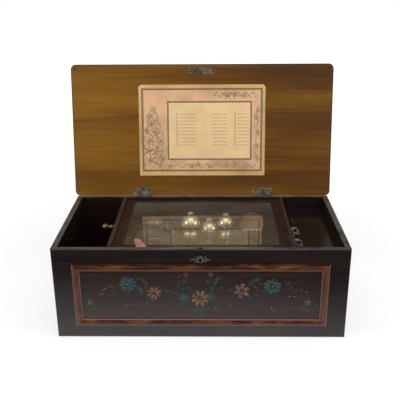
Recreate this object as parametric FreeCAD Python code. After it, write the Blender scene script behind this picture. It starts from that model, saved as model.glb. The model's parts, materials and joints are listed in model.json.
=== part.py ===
"""Lever-wound cylinder music box with drum, bells and castanet under an inner glass lid.

Frame: +X to the right, +Y to the back, +Z up, millimetres. The origin is the middle of the
underside. The lid stands open at its stop, and the glass lid lies shut.
"""

import FreeCAD, Part
import math
import os

V = FreeCAD.Vector
X, Y, Z = V(1, 0, 0), V(0, 1, 0), V(0, 0, 1)

# ---------------------------------------------------------------- driving sizes
# case
case_length = 560.0
case_depth = 280.0
case_height = 190.0
wall = 11.0
bottom_thickness = 10.0
corner_round = 3.0
# moulded frame on the front
moulding_margin_side = 38.0
moulding_bottom = 27.5
moulding_below_top = 30.0
moulding_width = 14.0
moulding_fillet = 2.5
moulding_rise = 5.5
# compartments
partition = 8.0
left_room = 93.0
right_room = 97.0
right_partition_thickness = 6.0
partition_drop = 1.0
deck_drop = 26.0
deck_thickness = 4.0
# lid
lid_thickness = 18.0
lid_overhang = 6.5
lid_back_overhang = 4.8
lid_corner = 11.0
lid_edge_round = 2.0
lid_seat_gap = 0.4
lid_open_angle = 100.5
# hinges of the lid
hinge_spacing = 270.0
hinge_length = 44.0
hinge_leaf = 1.2
hinge_lid_leaf_depth = 13.0
hinge_case_leaf_depth = 9.0
knuckle_radius = 2.6
knuckles = 5
knuckle_gap = 0.2
hinge_clearance = 0.3
hinge_pin_radius = 1.2
hinge_pin_head = 1.2
screw_radius = 1.9
screw_rise = 0.25
# tune card on the lid
card_width = 279.0
card_height = 201.0
card_thickness = 0.8
card_from_hinge = 44.5
card_corner_cut = 5.0
# inner glass lid
glass_lid_thickness = 8.0
glass_lid_drop = 4.0
glass_rail = 21.5
glass_back_rail = 18.5
glass_thickness = 2.5
glass_rebate = 3.0
glass_rebate_depth = 3.7
glass_lid_play = 0.6
glass_edge_play = 0.3
glass_pivot_radius = 1.5
glass_pivot_length = 8.0
tab_width = 30.0
tab_depth = 44.0
tab_thickness = 3.2
tab_x = -114.0
# box lock and strike plate
lock_length = 50.0
lock_height = 29.0
lock_thickness = 7.2
lock_drop = 3.4
lock_sheet = 1.0
lock_mortise_play = 0.2
strike_length = 57.0
strike_width = 12.0
strike_thickness = 1.5
strike_from_edge = 9.0
staple_length = 12.0
staple_width = 5.0
staple_thickness = 1.6
staple_eye_height = 4.0
staple_eye_width = 3.2
staple_forward = 2.0
bolt_height = 3.0
bolt_thickness = 2.2
bolt_length = 18.0
bolt_retreat = 2.5
key_below_lock_top = 16.6
key_radius = 2.2
escutcheon_length = 42.7
escutcheon_height = 16.0
escutcheon_thickness = 1.5
# bedplate
bedplate_thickness = 6.0
bedplate_height = 22.0
bedplate_margin = 7.0
bedplate_depth = 236.0
bedplate_foot_radius = 9.0
bedplate_foot_inset = 12.0
# pinned cylinder and its bearings
cylinder_radius = 28.0
cylinder_length = 228.0
cylinder_from_partition = 62.0
cylinder_wall = 2.0
cylinder_cap = 4.0
cylinder_y = -22.0
arbor_radius = 4.0
bracket_thickness = 5.0
bracket_foot = 14.0
bracket_half = 20.0
bracket_over_barrel = 18.0
bracket_over_cylinder = 10.0
bracket_behind_cylinder = 16.0
running = 0.05
wheel_gap = 2.0
# spring barrel
barrel_y = -30.0
barrel_z = 66.0
barrel_radius = 27.0
barrel_length = 34.0
barrel_wall = 1.6
barrel_arbor_radius = 5.0
spring_thickness = 0.8
spring_turns = 7
# gears
gear_face = 4.0
barrel_teeth = 50
arbor_pinion_teeth = 12
barrel_module = 1.25
great_teeth = 72
governor_pinion_teeth = 12
governor_module = 0.8
great_face = 3.5
governor_arbor_radius = 3.0
worm_wheel_teeth = 30
worm_core_radius = 2.2
worm_thread_radius = 3.6
worm_clearance = 0.25
worm_length = 34.0
worm_from_bracket = 8.5
plate_from_worm = 5.5
fly_radius = 11.0
fly_height = 14.0
# winding lever
lever_arm = 112.0
lever_rest_angle = 29.5
lever_thickness = 4.0
lever_from_partition = 4.0
ratchet_radius = 16.0
ratchet_tooth_depth = 2.0
ratchet_teeth = 24
ratchet_thickness = 3.0
ratchet_gap = 1.0
click_clearance = 0.3
click_pin_radius = 1.3
handle_ball_radius = 6.0
# comb
comb_teeth = 60
comb_thickness = 2.5
comb_gap = 1.2
comb_tooth_length = 32.0
comb_depth = 47.0
comb_clearance = 1.2
comb_base_depth = 34.0
comb_base_foot = 12.0
comb_inset = 4.0
# hammers
rail_from_cylinder = 10.0
rail_above_axis = 14.085
rail_posts_along = (36.0, 181.0)
rail_rod_radius = 1.5
rail_post = 5.0
hub_radius = 4.0
hub_width = 4.0
stem_radius = 1.0
head_gap = 0.8
drum_gap = 1.8
bell_head_radius = 3.0
beater_head_radius = 2.2
# bells: (distance along the cylinder, y, rim height, radius, height of the dome)
bell_wall = 1.4
upper_bells_along = [(81.0, 90.0, 140.0, 22.4, 21.8), (122.4, 90.0, 126.5, 15.4, 20.6),
                     (158.2, 90.0, 139.7, 18.6, 19.4)]
lower_bells_along = [(81.0, 90.0, 112.3, 19.5, 18.6), (158.2, 90.0, 110.6, 16.4, 17.4)]
bell_post_radius = 4.0
bell_rod_radius = 2.0
bell_post_foot = 8.0
post_foot = 9.0
post_foot_height = 4.0
finial_radius = 8.0
finial_height = 6.0
finial_petals = 8
finial_petal = 2.4
# drum
drum_along = 0.0
drum_y = 78.4
drum_z = 111.8
drum_tilt = 15.0
drum_radius = 46.0
drum_height = 26.0
drum_flange_radius = 51.7
drum_flange = 3.0
drum_wall = 1.5
drum_skin = 0.5
drum_skin_radius = 48.0
drum_hoop_width = 7.0
drum_hoop = 2.2
drum_claws = 16
drum_arm = 20.0
drum_arm_radius = 4.0
drum_pad_radius = 12.0
drum_pad = 3.0
drum_post_radius = 5.0
drum_beaters = 4
drum_beater_pitch = 7.0
drum_beater_along = -7.0
drum_strike_height = 11.0
# castanet
castanet_along = 217.5
castanet_y = 100.0
castanet_z = 134.5
castanet_radius = 26.0
castanet_thickness = 14.0
castanet_groove = 1.0
castanet_groove_width = 1.6
castanet_lip = 4.5
castanet_lean = 20.0
castanet_beaters = 6
castanet_beater_pitch = 6.7
castanet_strike_drop = 12.0
castanet_post_radius = 5.0
# control levers: (name, y, radius of the thumb piece)
control_levers = [("start_lever", -78.0, 11.0), ("repeat_lever", -22.0, 11.0), ("bell_lever", 22.0, 4.0)]
control_from_partition = 10.0
control_pivot_z = 132.0
control_stem = 3.0
control_swing = 10.0
control_slot_play = 3.0
control_pin_radius = 2.0

# ---------------------------------------------------------------- sizes that follow
half_x = case_length / 2
half_y = case_depth / 2
inner_x = half_x - wall
inner_y = half_y - wall
left_partition_x = -inner_x + left_room
moulding_top = case_height - moulding_below_top
movement_left = left_partition_x + partition
right_partition_x = inner_x - right_room
movement_right = right_partition_x
deck_left = right_partition_x + right_partition_thickness
partition_top = case_height - partition_drop
deck_top = case_height - deck_drop

hinge_y = half_y + knuckle_radius + hinge_clearance
hinge_z = case_height
lid_inner_z = case_height + lid_seat_gap
lid_front_y = -half_y - lid_overhang

glass_top = case_height - glass_lid_drop
glass_bottom = glass_top - glass_lid_thickness
glass_pivot_z = (glass_top + glass_bottom) / 2
glass_pivot_y = inner_y - glass_lid_play - glass_lid_thickness / 2
glass_left = movement_left + glass_lid_play
glass_right = movement_right - glass_lid_play
glass_front = -inner_y + glass_lid_play
pane_seat_z = glass_top - glass_rebate_depth

bed_top = bedplate_height + bedplate_thickness
axis_distance = barrel_module * (barrel_teeth + arbor_pinion_teeth) / 2
cylinder_z = barrel_z + math.sqrt(axis_distance ** 2 - (cylinder_y - barrel_y) ** 2)
cylinder_left = movement_left + cylinder_from_partition
cylinder_right = cylinder_left + cylinder_length
left_bracket_x = cylinder_left - bracket_thickness - bracket_thickness
barrel_gear_x = left_bracket_x - wheel_gap - gear_face
barrel_left = barrel_gear_x - barrel_length
barrel_bracket_x = barrel_left - wheel_gap - bracket_thickness
ratchet_x = barrel_bracket_x - ratchet_gap - ratchet_thickness
great_x = cylinder_right + wheel_gap
right_bracket_x = great_x + great_face + bracket_thickness
governor_distance = governor_module * (great_teeth + governor_pinion_teeth) / 2
governor_y = cylinder_y - governor_distance * math.sqrt(0.5)
governor_z = cylinder_z - governor_distance * math.sqrt(0.5)
worm_wheel_radius = governor_module * (worm_wheel_teeth / 2 + 1)
worm_x = right_bracket_x + bracket_thickness + worm_from_bracket
worm_y = governor_y - worm_wheel_radius - worm_clearance - worm_thread_radius
governor_plate_x = worm_x + plate_from_worm
lever_x = left_partition_x - lever_from_partition - lever_thickness
control_x = deck_left + control_from_partition

rail_y = cylinder_y + cylinder_radius + rail_from_cylinder
rail_z = cylinder_z + rail_above_axis
upper_bells = [(cylinder_left + along, *size) for along, *size in upper_bells_along]
lower_bells = [(cylinder_left + along, *size) for along, *size in lower_bells_along]
drum_x = cylinder_left + drum_along
drum_beater_first = cylinder_left + drum_beater_along
castanet_x = cylinder_left + castanet_along

strike_y = lid_front_y + strike_from_edge
staple_y = strike_y + strike_width / 2 - staple_forward
staple_eye_z = lid_inner_z - staple_length + 1.2 + staple_eye_height / 2
lock_front_y = staple_y - lock_thickness / 2
lock_top = case_height - lock_drop
key_height = lock_top - key_below_lock_top
comb_z = cylinder_z - comb_thickness / 2
comb_tip_y = cylinder_y - cylinder_radius - comb_clearance


# ---------------------------------------------------------------- shapes used everywhere
def box(x0, x1, y0, y1, z0, z1):
    return Part.makeBox(x1 - x0, y1 - y0, z1 - z0, V(x0, y0, z0))


def rod(radius, start, end):
    start, end = V(*start), V(*end)
    return Part.makeCylinder(radius, (end - start).Length, start, end - start)


def ball(radius, centre):
    return Part.makeSphere(radius, V(*centre))


def fused(shapes):
    first = shapes[0]
    if len(shapes) == 1:
        return first
    return first.multiFuse(shapes[1:]).removeSplitter()


def prism(points, direction):
    """A flat outline pushed along a direction."""
    loop = [V(*point) for point in points]
    wire = Part.makePolygon(loop + loop[:1])
    return Part.Face(wire).extrude(V(*direction))


def turned(outline, base, axis):
    """An outline of (radius, distance along the axis) turned once round the axis."""
    base, axis = V(*base), V(*axis)
    across = axis.cross(Z)
    if across.Length < 0.5:
        across = X
    points = [base + across * radius + axis * along for radius, along in outline]
    wire = Part.makePolygon(points + points[:1])
    return Part.Face(wire).revolve(base, axis, 360)


def gear(teeth, module, x0, width, y, z, bore, tooth_angle):
    """A spur gear on an axis along X, with one tooth pointing at tooth_angle (from +Y to +Z)."""
    root = module * (teeth / 2 - 1.25)
    tip = module * (teeth / 2 + 0.95)
    step = 360.0 / teeth
    outline = []
    for i in range(teeth):
        for radius, part in ((root, -0.33), (tip, -0.13), (tip, 0.13), (root, 0.33)):
            angle = math.radians(tooth_angle + (i + part) * step)
            outline.append((x0, y + radius * math.cos(angle), z + radius * math.sin(angle)))
    blank = prism(outline, (width, 0, 0))
    return blank.cut(rod(bore, (x0 - 1, y, z), (x0 + width + 1, y, z)))


def opened(shape):
    """From where the closed lid has it to where the lid stands open."""
    copy = shape.copy()
    copy.rotate(V(0, hinge_y, hinge_z), X, -lid_open_angle)
    return copy


def save(node, shapes):
    if not isinstance(shapes, list):
        shapes = [shapes]
    solids = [solid for shape in shapes for solid in shape.Solids]
    Part.makeCompound(solids).exportStep("parts/" + node + ".step")


# ---------------------------------------------------------------- case
def lock_mortise():
    x = lock_length / 2 + lock_mortise_play
    y = lock_front_y - lock_mortise_play
    pocket = box(-x, x, y, -inner_y, lock_top - lock_height - lock_mortise_play, lock_top)
    slot = box(-3.0, 3.0, staple_y - 3.2, staple_y + 3.2, lock_top, case_height)
    return fused([pocket, slot])


def key_hole(y0, y1, play):
    r = key_radius + play
    eye = rod(r, (0, y0, key_height), (0, y1, key_height))
    return fused([eye, box(-r / 2, r / 2, y0, y1, key_height - 3 * r, key_height)])


def case_front():
    board = box(-half_x, half_x, -half_y, -inner_y, 0, case_height)
    corners = [e for e in board.Edges if e.Length > case_height - 1 and abs(e.Vertexes[0].Y + half_y) < 0.1]
    board = board.makeFillet(corner_round, corners)
    return board.cut(fused([lock_mortise(), key_hole(-half_y - 1, -inner_y, 0.6)]))


def hinge_centres():
    return (-hinge_spacing / 2, hinge_spacing / 2)


def case_back():
    board = box(-half_x, half_x, inner_y, half_y, 0, case_height)
    corners = [e for e in board.Edges if e.Length > case_height - 1 and abs(e.Vertexes[0].Y - half_y) < 0.1]
    board = board.makeFillet(corner_round, corners)
    for x in hinge_centres():
        half = hinge_length / 2
        board = board.cut(box(x - half, x + half, half_y - hinge_case_leaf_depth, half_y + 1,
                              case_height - hinge_leaf, case_height + 1))
    return board


def case_sides():
    return [box(a, b, -inner_y, inner_y, 0, case_height) for a, b in ((-half_x, -inner_x), (inner_x, half_x))]


def bottom_board():
    return box(-inner_x, inner_x, -inner_y, inner_y, 0, bottom_thickness)


def moulding_profile(at):
    """Strip section in the (across, rise) plane: two low fillets with a rounded ridge between."""
    w, f, h = moulding_width, moulding_fillet, moulding_rise
    step = h * 0.4
    ridge = (w / 2 - f) * 0.75
    points = [(0, 0), (0, step), (f, step), (f, step * 1.4), (w / 2 - ridge, h * 0.85),
              (w / 2 - ridge / 2, h),
              (w / 2 + ridge / 2, h), (w / 2 + ridge, h * 0.85), (w - f, step * 1.4), (w - f, step),
              (w, step),
              (w, 0)]
    return [at(across, rise) for across, rise in points]


def front_moulding():
    x = half_x - moulding_margin_side
    z0, z1 = moulding_bottom, moulding_top
    w = moulding_width
    y = -half_y
    far = 2 * moulding_rise
    strips = []
    for low, high, inner_low, inner_high in ((z0, z0 + w, z0, z0 + w), (z1, z1 - w, z1, z1 - w)):
        sign = 1 if high > low else -1
        bar = prism(moulding_profile(lambda a, r: (-x, y - r, low + sign * a)), (2 * x, 0, 0))
        trim = prism([(-x, y + 1, low), (x, y + 1, low), (x - w, y + 1, high), (-x + w, y + 1, high)],
                     (0, -far, 0))
        strips.append(bar.common(trim))
    for side in (-1, 1):
        bar = prism(moulding_profile(lambda a, r: (side * (x - a), y - r, z0)), (0, 0, z1 - z0))
        trim = prism([(side * x, y + 1, z0), (side * x, y + 1, z1), (side * (x - w), y + 1, z1 - w),
                      (side * (x - w), y + 1, z0 + w)], (0, -far, 0))
        strips.append(bar.common(trim))
    return strips


def left_partition():
    board = box(left_partition_x, movement_left, -inner_y, inner_y, bottom_thickness, partition_top)
    x0, x1 = left_partition_x - 1, movement_left + 1
    hole = rod(barrel_arbor_radius + 3, (x0, barrel_y, barrel_z), (x1, barrel_y, barrel_z))
    pivot = rod(glass_pivot_radius + running, (x0, glass_pivot_y, glass_pivot_z),
                (x1, glass_pivot_y, glass_pivot_z))
    return board.cut(fused([hole, pivot]))


def control_reach():
    swing = (deck_top - control_pivot_z) * math.tan(math.radians(control_swing))
    return swing + control_stem / 2 + control_slot_play


def right_partition():
    board = box(right_partition_x, deck_left, -inner_y, inner_y, bottom_thickness, partition_top)
    x0, x1 = right_partition_x - 1, deck_left + 1
    holes = [rod(glass_pivot_radius + running, (x0, glass_pivot_y, glass_pivot_z),
                 (x1, glass_pivot_y, glass_pivot_z))]
    for _, y, _ in control_levers:
        holes.append(rod(control_pin_radius, (x0, y, control_pivot_z), (x1, y, control_pivot_z)))
    return board.cut(fused(holes))


def control_deck():
    deck = box(deck_left, inner_x, -inner_y, inner_y, deck_top - deck_thickness, deck_top)
    reach = control_reach()
    for _, y, _ in control_levers:
        x0, x1 = control_x - control_stem, control_x + control_stem
        deck = deck.cut(box(x0, x1, y - reach, y + reach, deck_top - deck_thickness - 1, deck_top + 1))
    ledge = box(inner_x - 4, inner_x, -inner_y, inner_y, deck_top, deck_top + 6)
    return [deck, ledge]


def escutcheon():
    a, b = escutcheon_length / 2, escutcheon_height / 2
    y0, y1 = -half_y - escutcheon_thickness, -half_y
    z = key_height
    quarter = [(a, 0), (a * 0.62, b * 0.3), (a * 0.36, b * 0.62), (0, b)]
    half = quarter + [(-u, v) for u, v in reversed(quarter[:-1])]
    outline = half + [(u, -v) for u, v in reversed(half[1:-1])]
    plate = prism([(u, y1, z + v) for u, v in outline], (0, y0 - y1, 0))
    lobes = [rod(2.6, (s * (a - 4.4), y0, z), (s * (a - 4.4), y1, z)) for s in (-1, 1)]
    lobes += [rod(3.0, (s * a * 0.4, y0, z + t * b * 0.42), (s * a * 0.4, y1, z + t * b * 0.42))
              for s in (-1, 1) for t in (-1, 1)]
    plate = fused([plate, rod(b * 0.72, (0, y0, z), (0, y1, z))] + lobes)
    holes = [key_hole(y0 - 1, y1 + 1, 0)]
    for s in (-1, 1):
        holes.append(rod(1.3, (s * (a - 4.4), y0 - 1, z), (s * (a - 4.4), y1 + 1, z)))
        for t in (-1, 1):
            holes.append(rod(1.5, (s * a * 0.4, y0 - 1, z + t * b * 0.42),
                             (s * a * 0.4, y1 + 1, z + t * b * 0.42)))
    return plate.cut(fused(holes))


def box_lock():
    x, s = lock_length / 2, lock_sheet
    y0, y1 = lock_front_y, lock_front_y + lock_thickness
    z0 = lock_top - lock_height
    case = box(-x, x, y0, y1, z0, lock_top).cut(box(-x + s, x - s, y0 + s, y1 - s, z0 + s, lock_top - s))
    mouth = box(-2.0, 2.0, staple_y - 2.9, staple_y + 2.9, lock_top - s - 1, lock_top + 1)
    case = case.cut(fused([mouth, key_hole(y0 - 1, y0 + s + 1, 0.2)]))
    bolt_z = staple_eye_z - bolt_height / 2 - 0.1
    rests = [box(u, u + 2, y0 + s, y1 - s, bolt_z - 1.5, bolt_z) for u in (-19.0, 10.0)]
    pin = rod(0.8, (0, y0 + s, key_height), (0, y1 - s, key_height))
    return fused([case] + rests + [pin])


def lock_bolt():
    x1 = -bolt_retreat
    x0 = x1 - bolt_length
    y0 = staple_y - bolt_thickness / 2
    z0 = staple_eye_z - bolt_height / 2
    return box(x0, x1, y0, y0 + bolt_thickness, z0, z0 + bolt_height)


def knuckle_spans(x, own):
    """The stretches along X of one leaf's knuckles: the case has the even ones, the lid the odd."""
    step = hinge_length / knuckles
    left = x - hinge_length / 2
    return [(left + i * step, left + (i + 1) * step) for i in range(knuckles) if i % 2 == own]


def hinge_leaf_solid(x, plate, own):
    gap = knuckle_gap / 2
    mine = [rod(knuckle_radius, (a + gap, hinge_y, hinge_z), (b - gap, hinge_y, hinge_z))
            for a, b in knuckle_spans(x, own)]
    theirs = [rod(knuckle_radius + hinge_clearance, (a - gap, hinge_y, hinge_z), (b + gap, hinge_y, hinge_z))
              for a, b in knuckle_spans(x, 1 - own)]
    bore = rod(hinge_pin_radius + running, (x - hinge_length, hinge_y, hinge_z),
               (x + hinge_length, hinge_y, hinge_z))
    return fused([plate] + mine).cut(fused(theirs)).cut(bore)


def case_hinge_leaves():
    leaves = []
    for x in hinge_centres():
        half = hinge_length / 2
        plate = box(x - half, x + half, half_y - hinge_case_leaf_depth, hinge_y, hinge_z - hinge_leaf,
                    hinge_z)
        leaves.append(hinge_leaf_solid(x, plate, 0))
    return leaves


def hinge_pins():
    pins = []
    for x in hinge_centres():
        half = hinge_length / 2
        shank = rod(hinge_pin_radius, (x - half, hinge_y, hinge_z), (x + half, hinge_y, hinge_z))
        heads = [rod(knuckle_radius * 0.8, (x + s * half, hinge_y, hinge_z),
                     (x + s * (half + hinge_pin_head), hinge_y, hinge_z))
                 for s in (-1, 1)]
        pins.append(fused([shank] + heads))
    length = glass_pivot_length
    for x0, x1 in ((left_partition_x, movement_left + length), (movement_right - length, deck_left)):
        pins.append(rod(glass_pivot_radius, (x0, glass_pivot_y, glass_pivot_z),
                        (x1, glass_pivot_y, glass_pivot_z)))
    for _, y, _ in control_levers:
        pin = rod(control_pin_radius, (right_partition_x, y, control_pivot_z),
                  (control_x + 5, y, control_pivot_z))
        head = rod(control_pin_radius + 1.5, (control_x + 3, y, control_pivot_z),
                   (control_x + 5, y, control_pivot_z))
        pins.append(fused([pin, head]))
    return pins


# ---------------------------------------------------------------- lid, in its closed place, then opened
def lid_recesses():
    cuts = []
    for x in hinge_centres():
        half = hinge_length / 2
        cuts.append(box(x - half, x + half, half_y - hinge_lid_leaf_depth, half_y + 1,
                        lid_inner_z - 1, lid_inner_z + hinge_leaf))
        notch = half + hinge_pin_head + hinge_clearance
        cuts.append(box(x - notch, x + notch, half_y, half_y + lid_back_overhang + 1,
                        lid_inner_z - 1, hinge_z + knuckle_radius + hinge_clearance))
    half = strike_length / 2
    cuts.append(box(-half, half, strike_y, strike_y + strike_width, lid_inner_z - 1,
                    lid_inner_z + strike_thickness))
    return cuts


def lid_panel():
    x = half_x + lid_overhang
    back = half_y + lid_back_overhang
    panel = box(-x, x, lid_front_y, back, lid_inner_z, lid_inner_z + lid_thickness)
    corners = [e for e in panel.Edges if abs(e.Length - lid_thickness) < 0.1]
    panel = panel.makeFillet(lid_corner, corners)
    top = [e for e in panel.Edges if all(v.Z > lid_inner_z + lid_thickness - 0.1 for v in e.Vertexes)]
    panel = panel.makeFillet(lid_edge_round, top)
    for cut in lid_recesses():
        panel = panel.cut(cut)
    return opened(panel)


def lid_hinge_leaves():
    leaves = []
    for x in hinge_centres():
        half = hinge_length / 2
        plate = box(x - half, x + half, half_y - hinge_lid_leaf_depth, hinge_y, lid_inner_z,
                    lid_inner_z + hinge_leaf)
        leaves.append(opened(hinge_leaf_solid(x, plate, 1)))
    return leaves


def lid_screws():
    """Flat slotted heads on the hinge leaves and strike plate, and one near each corner of the lid."""
    places = []
    for x in hinge_centres():
        places += [(x + s * hinge_length * 0.34, half_y - hinge_lid_leaf_depth / 2 - 1) for s in (-1, 0, 1)]
    places += [(s * strike_length * 0.42, strike_y + strike_width / 2) for s in (-1, 1)]
    inset = 9.0
    for s in (-1, 1):
        places += [(s * (half_x + lid_overhang - inset), y) for y in (lid_front_y + inset, half_y - inset)]
    heads = []
    for x, y in places:
        head = rod(screw_radius, (x, y, lid_inner_z - screw_rise), (x, y, lid_inner_z))
        slot = box(x - 3, x + 3, y - 0.25, y + 0.25, lid_inner_z - 1, lid_inner_z - screw_rise / 2)
        heads.append(opened(head.cut(slot)))
    return heads


def strike_plate():
    half = strike_length / 2
    plate = box(-half, half, strike_y, strike_y + strike_width, lid_inner_z, lid_inner_z + strike_thickness)
    t, w = staple_thickness / 2, staple_width / 2
    tongue = box(-t, t, staple_y - w, staple_y + w, lid_inner_z - staple_length, lid_inner_z)
    eye = box(-t - 1, t + 1, staple_y - staple_eye_width / 2, staple_y + staple_eye_width / 2,
              staple_eye_z - staple_eye_height / 2, staple_eye_z + staple_eye_height / 2)
    return opened(fused([plate, tongue]).cut(eye))


def tune_card():
    w = card_width / 2
    y1 = hinge_y - card_from_hinge
    y0 = y1 - card_height
    c = card_corner_cut
    z = lid_inner_z
    outline = [(-w, y1, z), (w, y1, z), (w, y0 + c, z), (w - c, y0, z), (-w + c, y0, z), (-w, y0 + c, z)]
    return opened(prism(outline, (0, 0, -card_thickness)))


# ---------------------------------------------------------------- inner glass lid
def glass_frame():
    y1 = glass_pivot_y
    frame = box(glass_left, glass_right, glass_front, y1, glass_bottom, glass_top)
    nose = rod(glass_lid_thickness / 2, (glass_left, y1, glass_pivot_z), (glass_right, y1, glass_pivot_z))
    frame = fused([frame, nose])
    x0, x1 = glass_left + glass_rail, glass_right - glass_rail
    y0, y2 = glass_front + glass_rail, inner_y - glass_back_rail
    r = glass_rebate
    frame = frame.cut(box(x0, x1, y0, y2, glass_bottom - 1, glass_top + 1))
    frame = frame.cut(box(x0 - r, x1 + r, y0 - r, y2 + r, pane_seat_z, glass_top + 1))
    for a, b in ((glass_left - 1, glass_left + glass_pivot_length),
                 (glass_right - glass_pivot_length, glass_right + 1)):
        frame = frame.cut(rod(glass_pivot_radius + running, (a, y1, glass_pivot_z), (b, y1, glass_pivot_z)))
    return frame


def glass_pane():
    r = glass_rebate - glass_edge_play
    return box(glass_left + glass_rail - r, glass_right - glass_rail + r, glass_front + glass_rail - r,
               inner_y - glass_back_rail + r, pane_seat_z, pane_seat_z + glass_thickness)


def lift_tab():
    y0 = glass_front + 1
    return box(tab_x - tab_width / 2, tab_x + tab_width / 2, y0, y0 + tab_depth, glass_top,
               glass_top + tab_thickness)


# ---------------------------------------------------------------- bedplate, bearings and comb
def bedplate():
    x0, x1 = movement_left + bedplate_margin, movement_right - bedplate_margin
    y = bedplate_depth / 2
    plate = box(x0, x1, -y, y, bedplate_height, bed_top)
    feet = []
    for px in (x0 + bedplate_foot_inset, (x0 + x1) / 2, x1 - bedplate_foot_inset):
        for py in (-y + bedplate_foot_inset, y - bedplate_foot_inset):
            feet.append(rod(bedplate_foot_radius, (px, py, bottom_thickness), (px, py, bedplate_height)))
    return [plate] + feet


def upright(x0, y0, y1, top, foot, bores):
    """A bearing plate on the bedplate with a foot to one side and bored for its arbors."""
    plate = box(x0, x0 + bracket_thickness, y0, y1, bed_top, top)
    a, b = sorted((x0 + bracket_thickness / 2, x0 + bracket_thickness / 2 + foot))
    plate = fused([plate, box(a, b, y0, y1, bed_top, bed_top + 5)])
    holes = [rod(radius + running, (x0 - 1, y, z), (x0 + bracket_thickness + 1, y, z))
             for radius, y, z in bores]
    return plate.cut(fused(holes))


def bearing_brackets():
    barrel = (barrel_arbor_radius, barrel_y, barrel_z)
    cylinder = (arbor_radius, cylinder_y, cylinder_z)
    governor = (governor_arbor_radius, governor_y, governor_z)
    click = (click_pin_radius, *click_pivot())
    first = upright(barrel_bracket_x, barrel_y - bracket_half, barrel_y + bracket_half,
                    barrel_z + bracket_over_barrel,
                    -6.5, [barrel, click])
    behind, over = cylinder_y + bracket_behind_cylinder, cylinder_z + bracket_over_cylinder
    middle = upright(left_bracket_x, barrel_y - bracket_half, behind, over, bracket_foot, [barrel, cylinder])
    last = upright(right_bracket_x, governor_y - 8, behind, over, -bracket_foot / 2, [governor, cylinder])
    plate = upright(governor_plate_x, worm_y - 8, governor_y + 14, governor_z + 20, bracket_foot / 2,
                    [governor])
    x0, x1 = worm_x - 6, governor_plate_x + 1
    cocks = []
    for z in (governor_z - worm_length / 2 - 5, governor_z + worm_length / 2 + 1):
        cock = box(x0, x1, worm_y - 6, worm_y + 5, z, z + 4)
        cocks.append(cock.cut(rod(worm_core_radius + running, (worm_x, worm_y, z - 1),
                                  (worm_x, worm_y, z + 5))))
    return [first, middle, last, fused([plate] + cocks)]


def comb_base():
    y1 = comb_tip_y - comb_tooth_length
    y0 = y1 - comb_base_depth
    x0, x1 = cylinder_left + comb_inset / 2, cylinder_right - comb_inset / 2
    block = box(x0, x1, y0 + 4, y1, bed_top, bed_top + comb_base_foot)
    riser = box(x0, x1, y0 + comb_base_foot, y1, bed_top, comb_z)
    return fused([block, riser])


def comb_screw_places():
    x0, x1 = cylinder_left + 16, cylinder_right - 16
    y = comb_tip_y - comb_depth + 7
    return [(x0 + i * (x1 - x0) / 5, y) for i in range(6)]


def comb():
    x0, x1 = cylinder_left + comb_inset, cylinder_right - comb_inset
    plate = box(x0, x1, comb_tip_y - comb_depth, comb_tip_y, comb_z, comb_z + comb_thickness)
    pitch = (x1 - x0) / comb_teeth
    slots = []
    for i in range(1, comb_teeth):
        x = x0 + i * pitch
        slots.append(box(x - comb_gap / 2, x + comb_gap / 2, comb_tip_y - comb_tooth_length, comb_tip_y + 1,
                         comb_z - 1, comb_z + comb_thickness + 1))
    return plate.cut(Part.makeCompound(slots))


def movement_screws():
    screws = []
    for x, y in comb_screw_places():
        head = rod(4.2, (x, y, comb_z + comb_thickness), (x, y, comb_z + comb_thickness + 3))
        slot = box(x - 5, x + 5, y - 0.5, y + 0.5, comb_z + comb_thickness + 1.8, comb_z + comb_thickness + 4)
        screws.append(head.cut(slot))
    inset = bedplate_margin + bedplate_foot_inset
    for x in (movement_left + inset, movement_right - inset):
        for y in (bedplate_foot_inset - bedplate_depth / 2, bedplate_depth / 2 - bedplate_foot_inset):
            head = rod(5.0, (x, y, bed_top), (x, y, bed_top + 3))
            screws.append(head.cut(box(x - 6, x + 6, y - 0.6, y + 0.6, bed_top + 1.8, bed_top + 4)))
    return screws


# ---------------------------------------------------------------- spring barrel and winding
def mesh_angle():
    """Direction from the barrel arbor to the cylinder arbor."""
    return math.degrees(math.atan2(cylinder_z - barrel_z, cylinder_y - barrel_y))


def spring_barrel():
    x0, x1 = barrel_left, barrel_gear_x
    y, z = barrel_y, barrel_z
    drum = rod(barrel_radius, (x0, y, z), (x1, y, z))
    hollow = rod(barrel_radius - barrel_wall, (x0 + barrel_wall, y, z), (x1 - barrel_wall, y, z))
    bore = rod(barrel_arbor_radius + running, (x0 - 1, y, z), (x1 + gear_face + 1, y, z))
    wheel = gear(barrel_teeth, barrel_module, x1, gear_face, y, z, barrel_arbor_radius + running,
                 mesh_angle())
    return fused([drum.cut(hollow), wheel]).cut(bore)


def mainspring():
    r0 = barrel_arbor_radius + 1.6
    r1 = barrel_radius - barrel_wall - spring_thickness - 0.4
    steps = 12 * spring_turns
    sides = []
    for offset in (0, spring_thickness):
        line = []
        for i in range(steps + 1):
            share = i / steps
            radius = r0 + (r1 - r0) * share + offset
            angle = 2 * math.pi * spring_turns * share
            line.append(V(barrel_left + barrel_wall + 1.5, barrel_y + radius * math.cos(angle),
                          barrel_z + radius * math.sin(angle)))
        sides.append(line)
    curves = []
    for line in sides:
        curve = Part.BSplineCurve()
        curve.interpolate(line)
        curves.append(curve.toShape())
    ends = [Part.makeLine(sides[0][i], sides[1][i]) for i in (0, -1)]
    wire = Part.Wire(Part.__sortEdges__(curves + ends))
    return Part.Face(wire).extrude(V(barrel_length - 2 * barrel_wall - 3, 0, 0))


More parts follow.
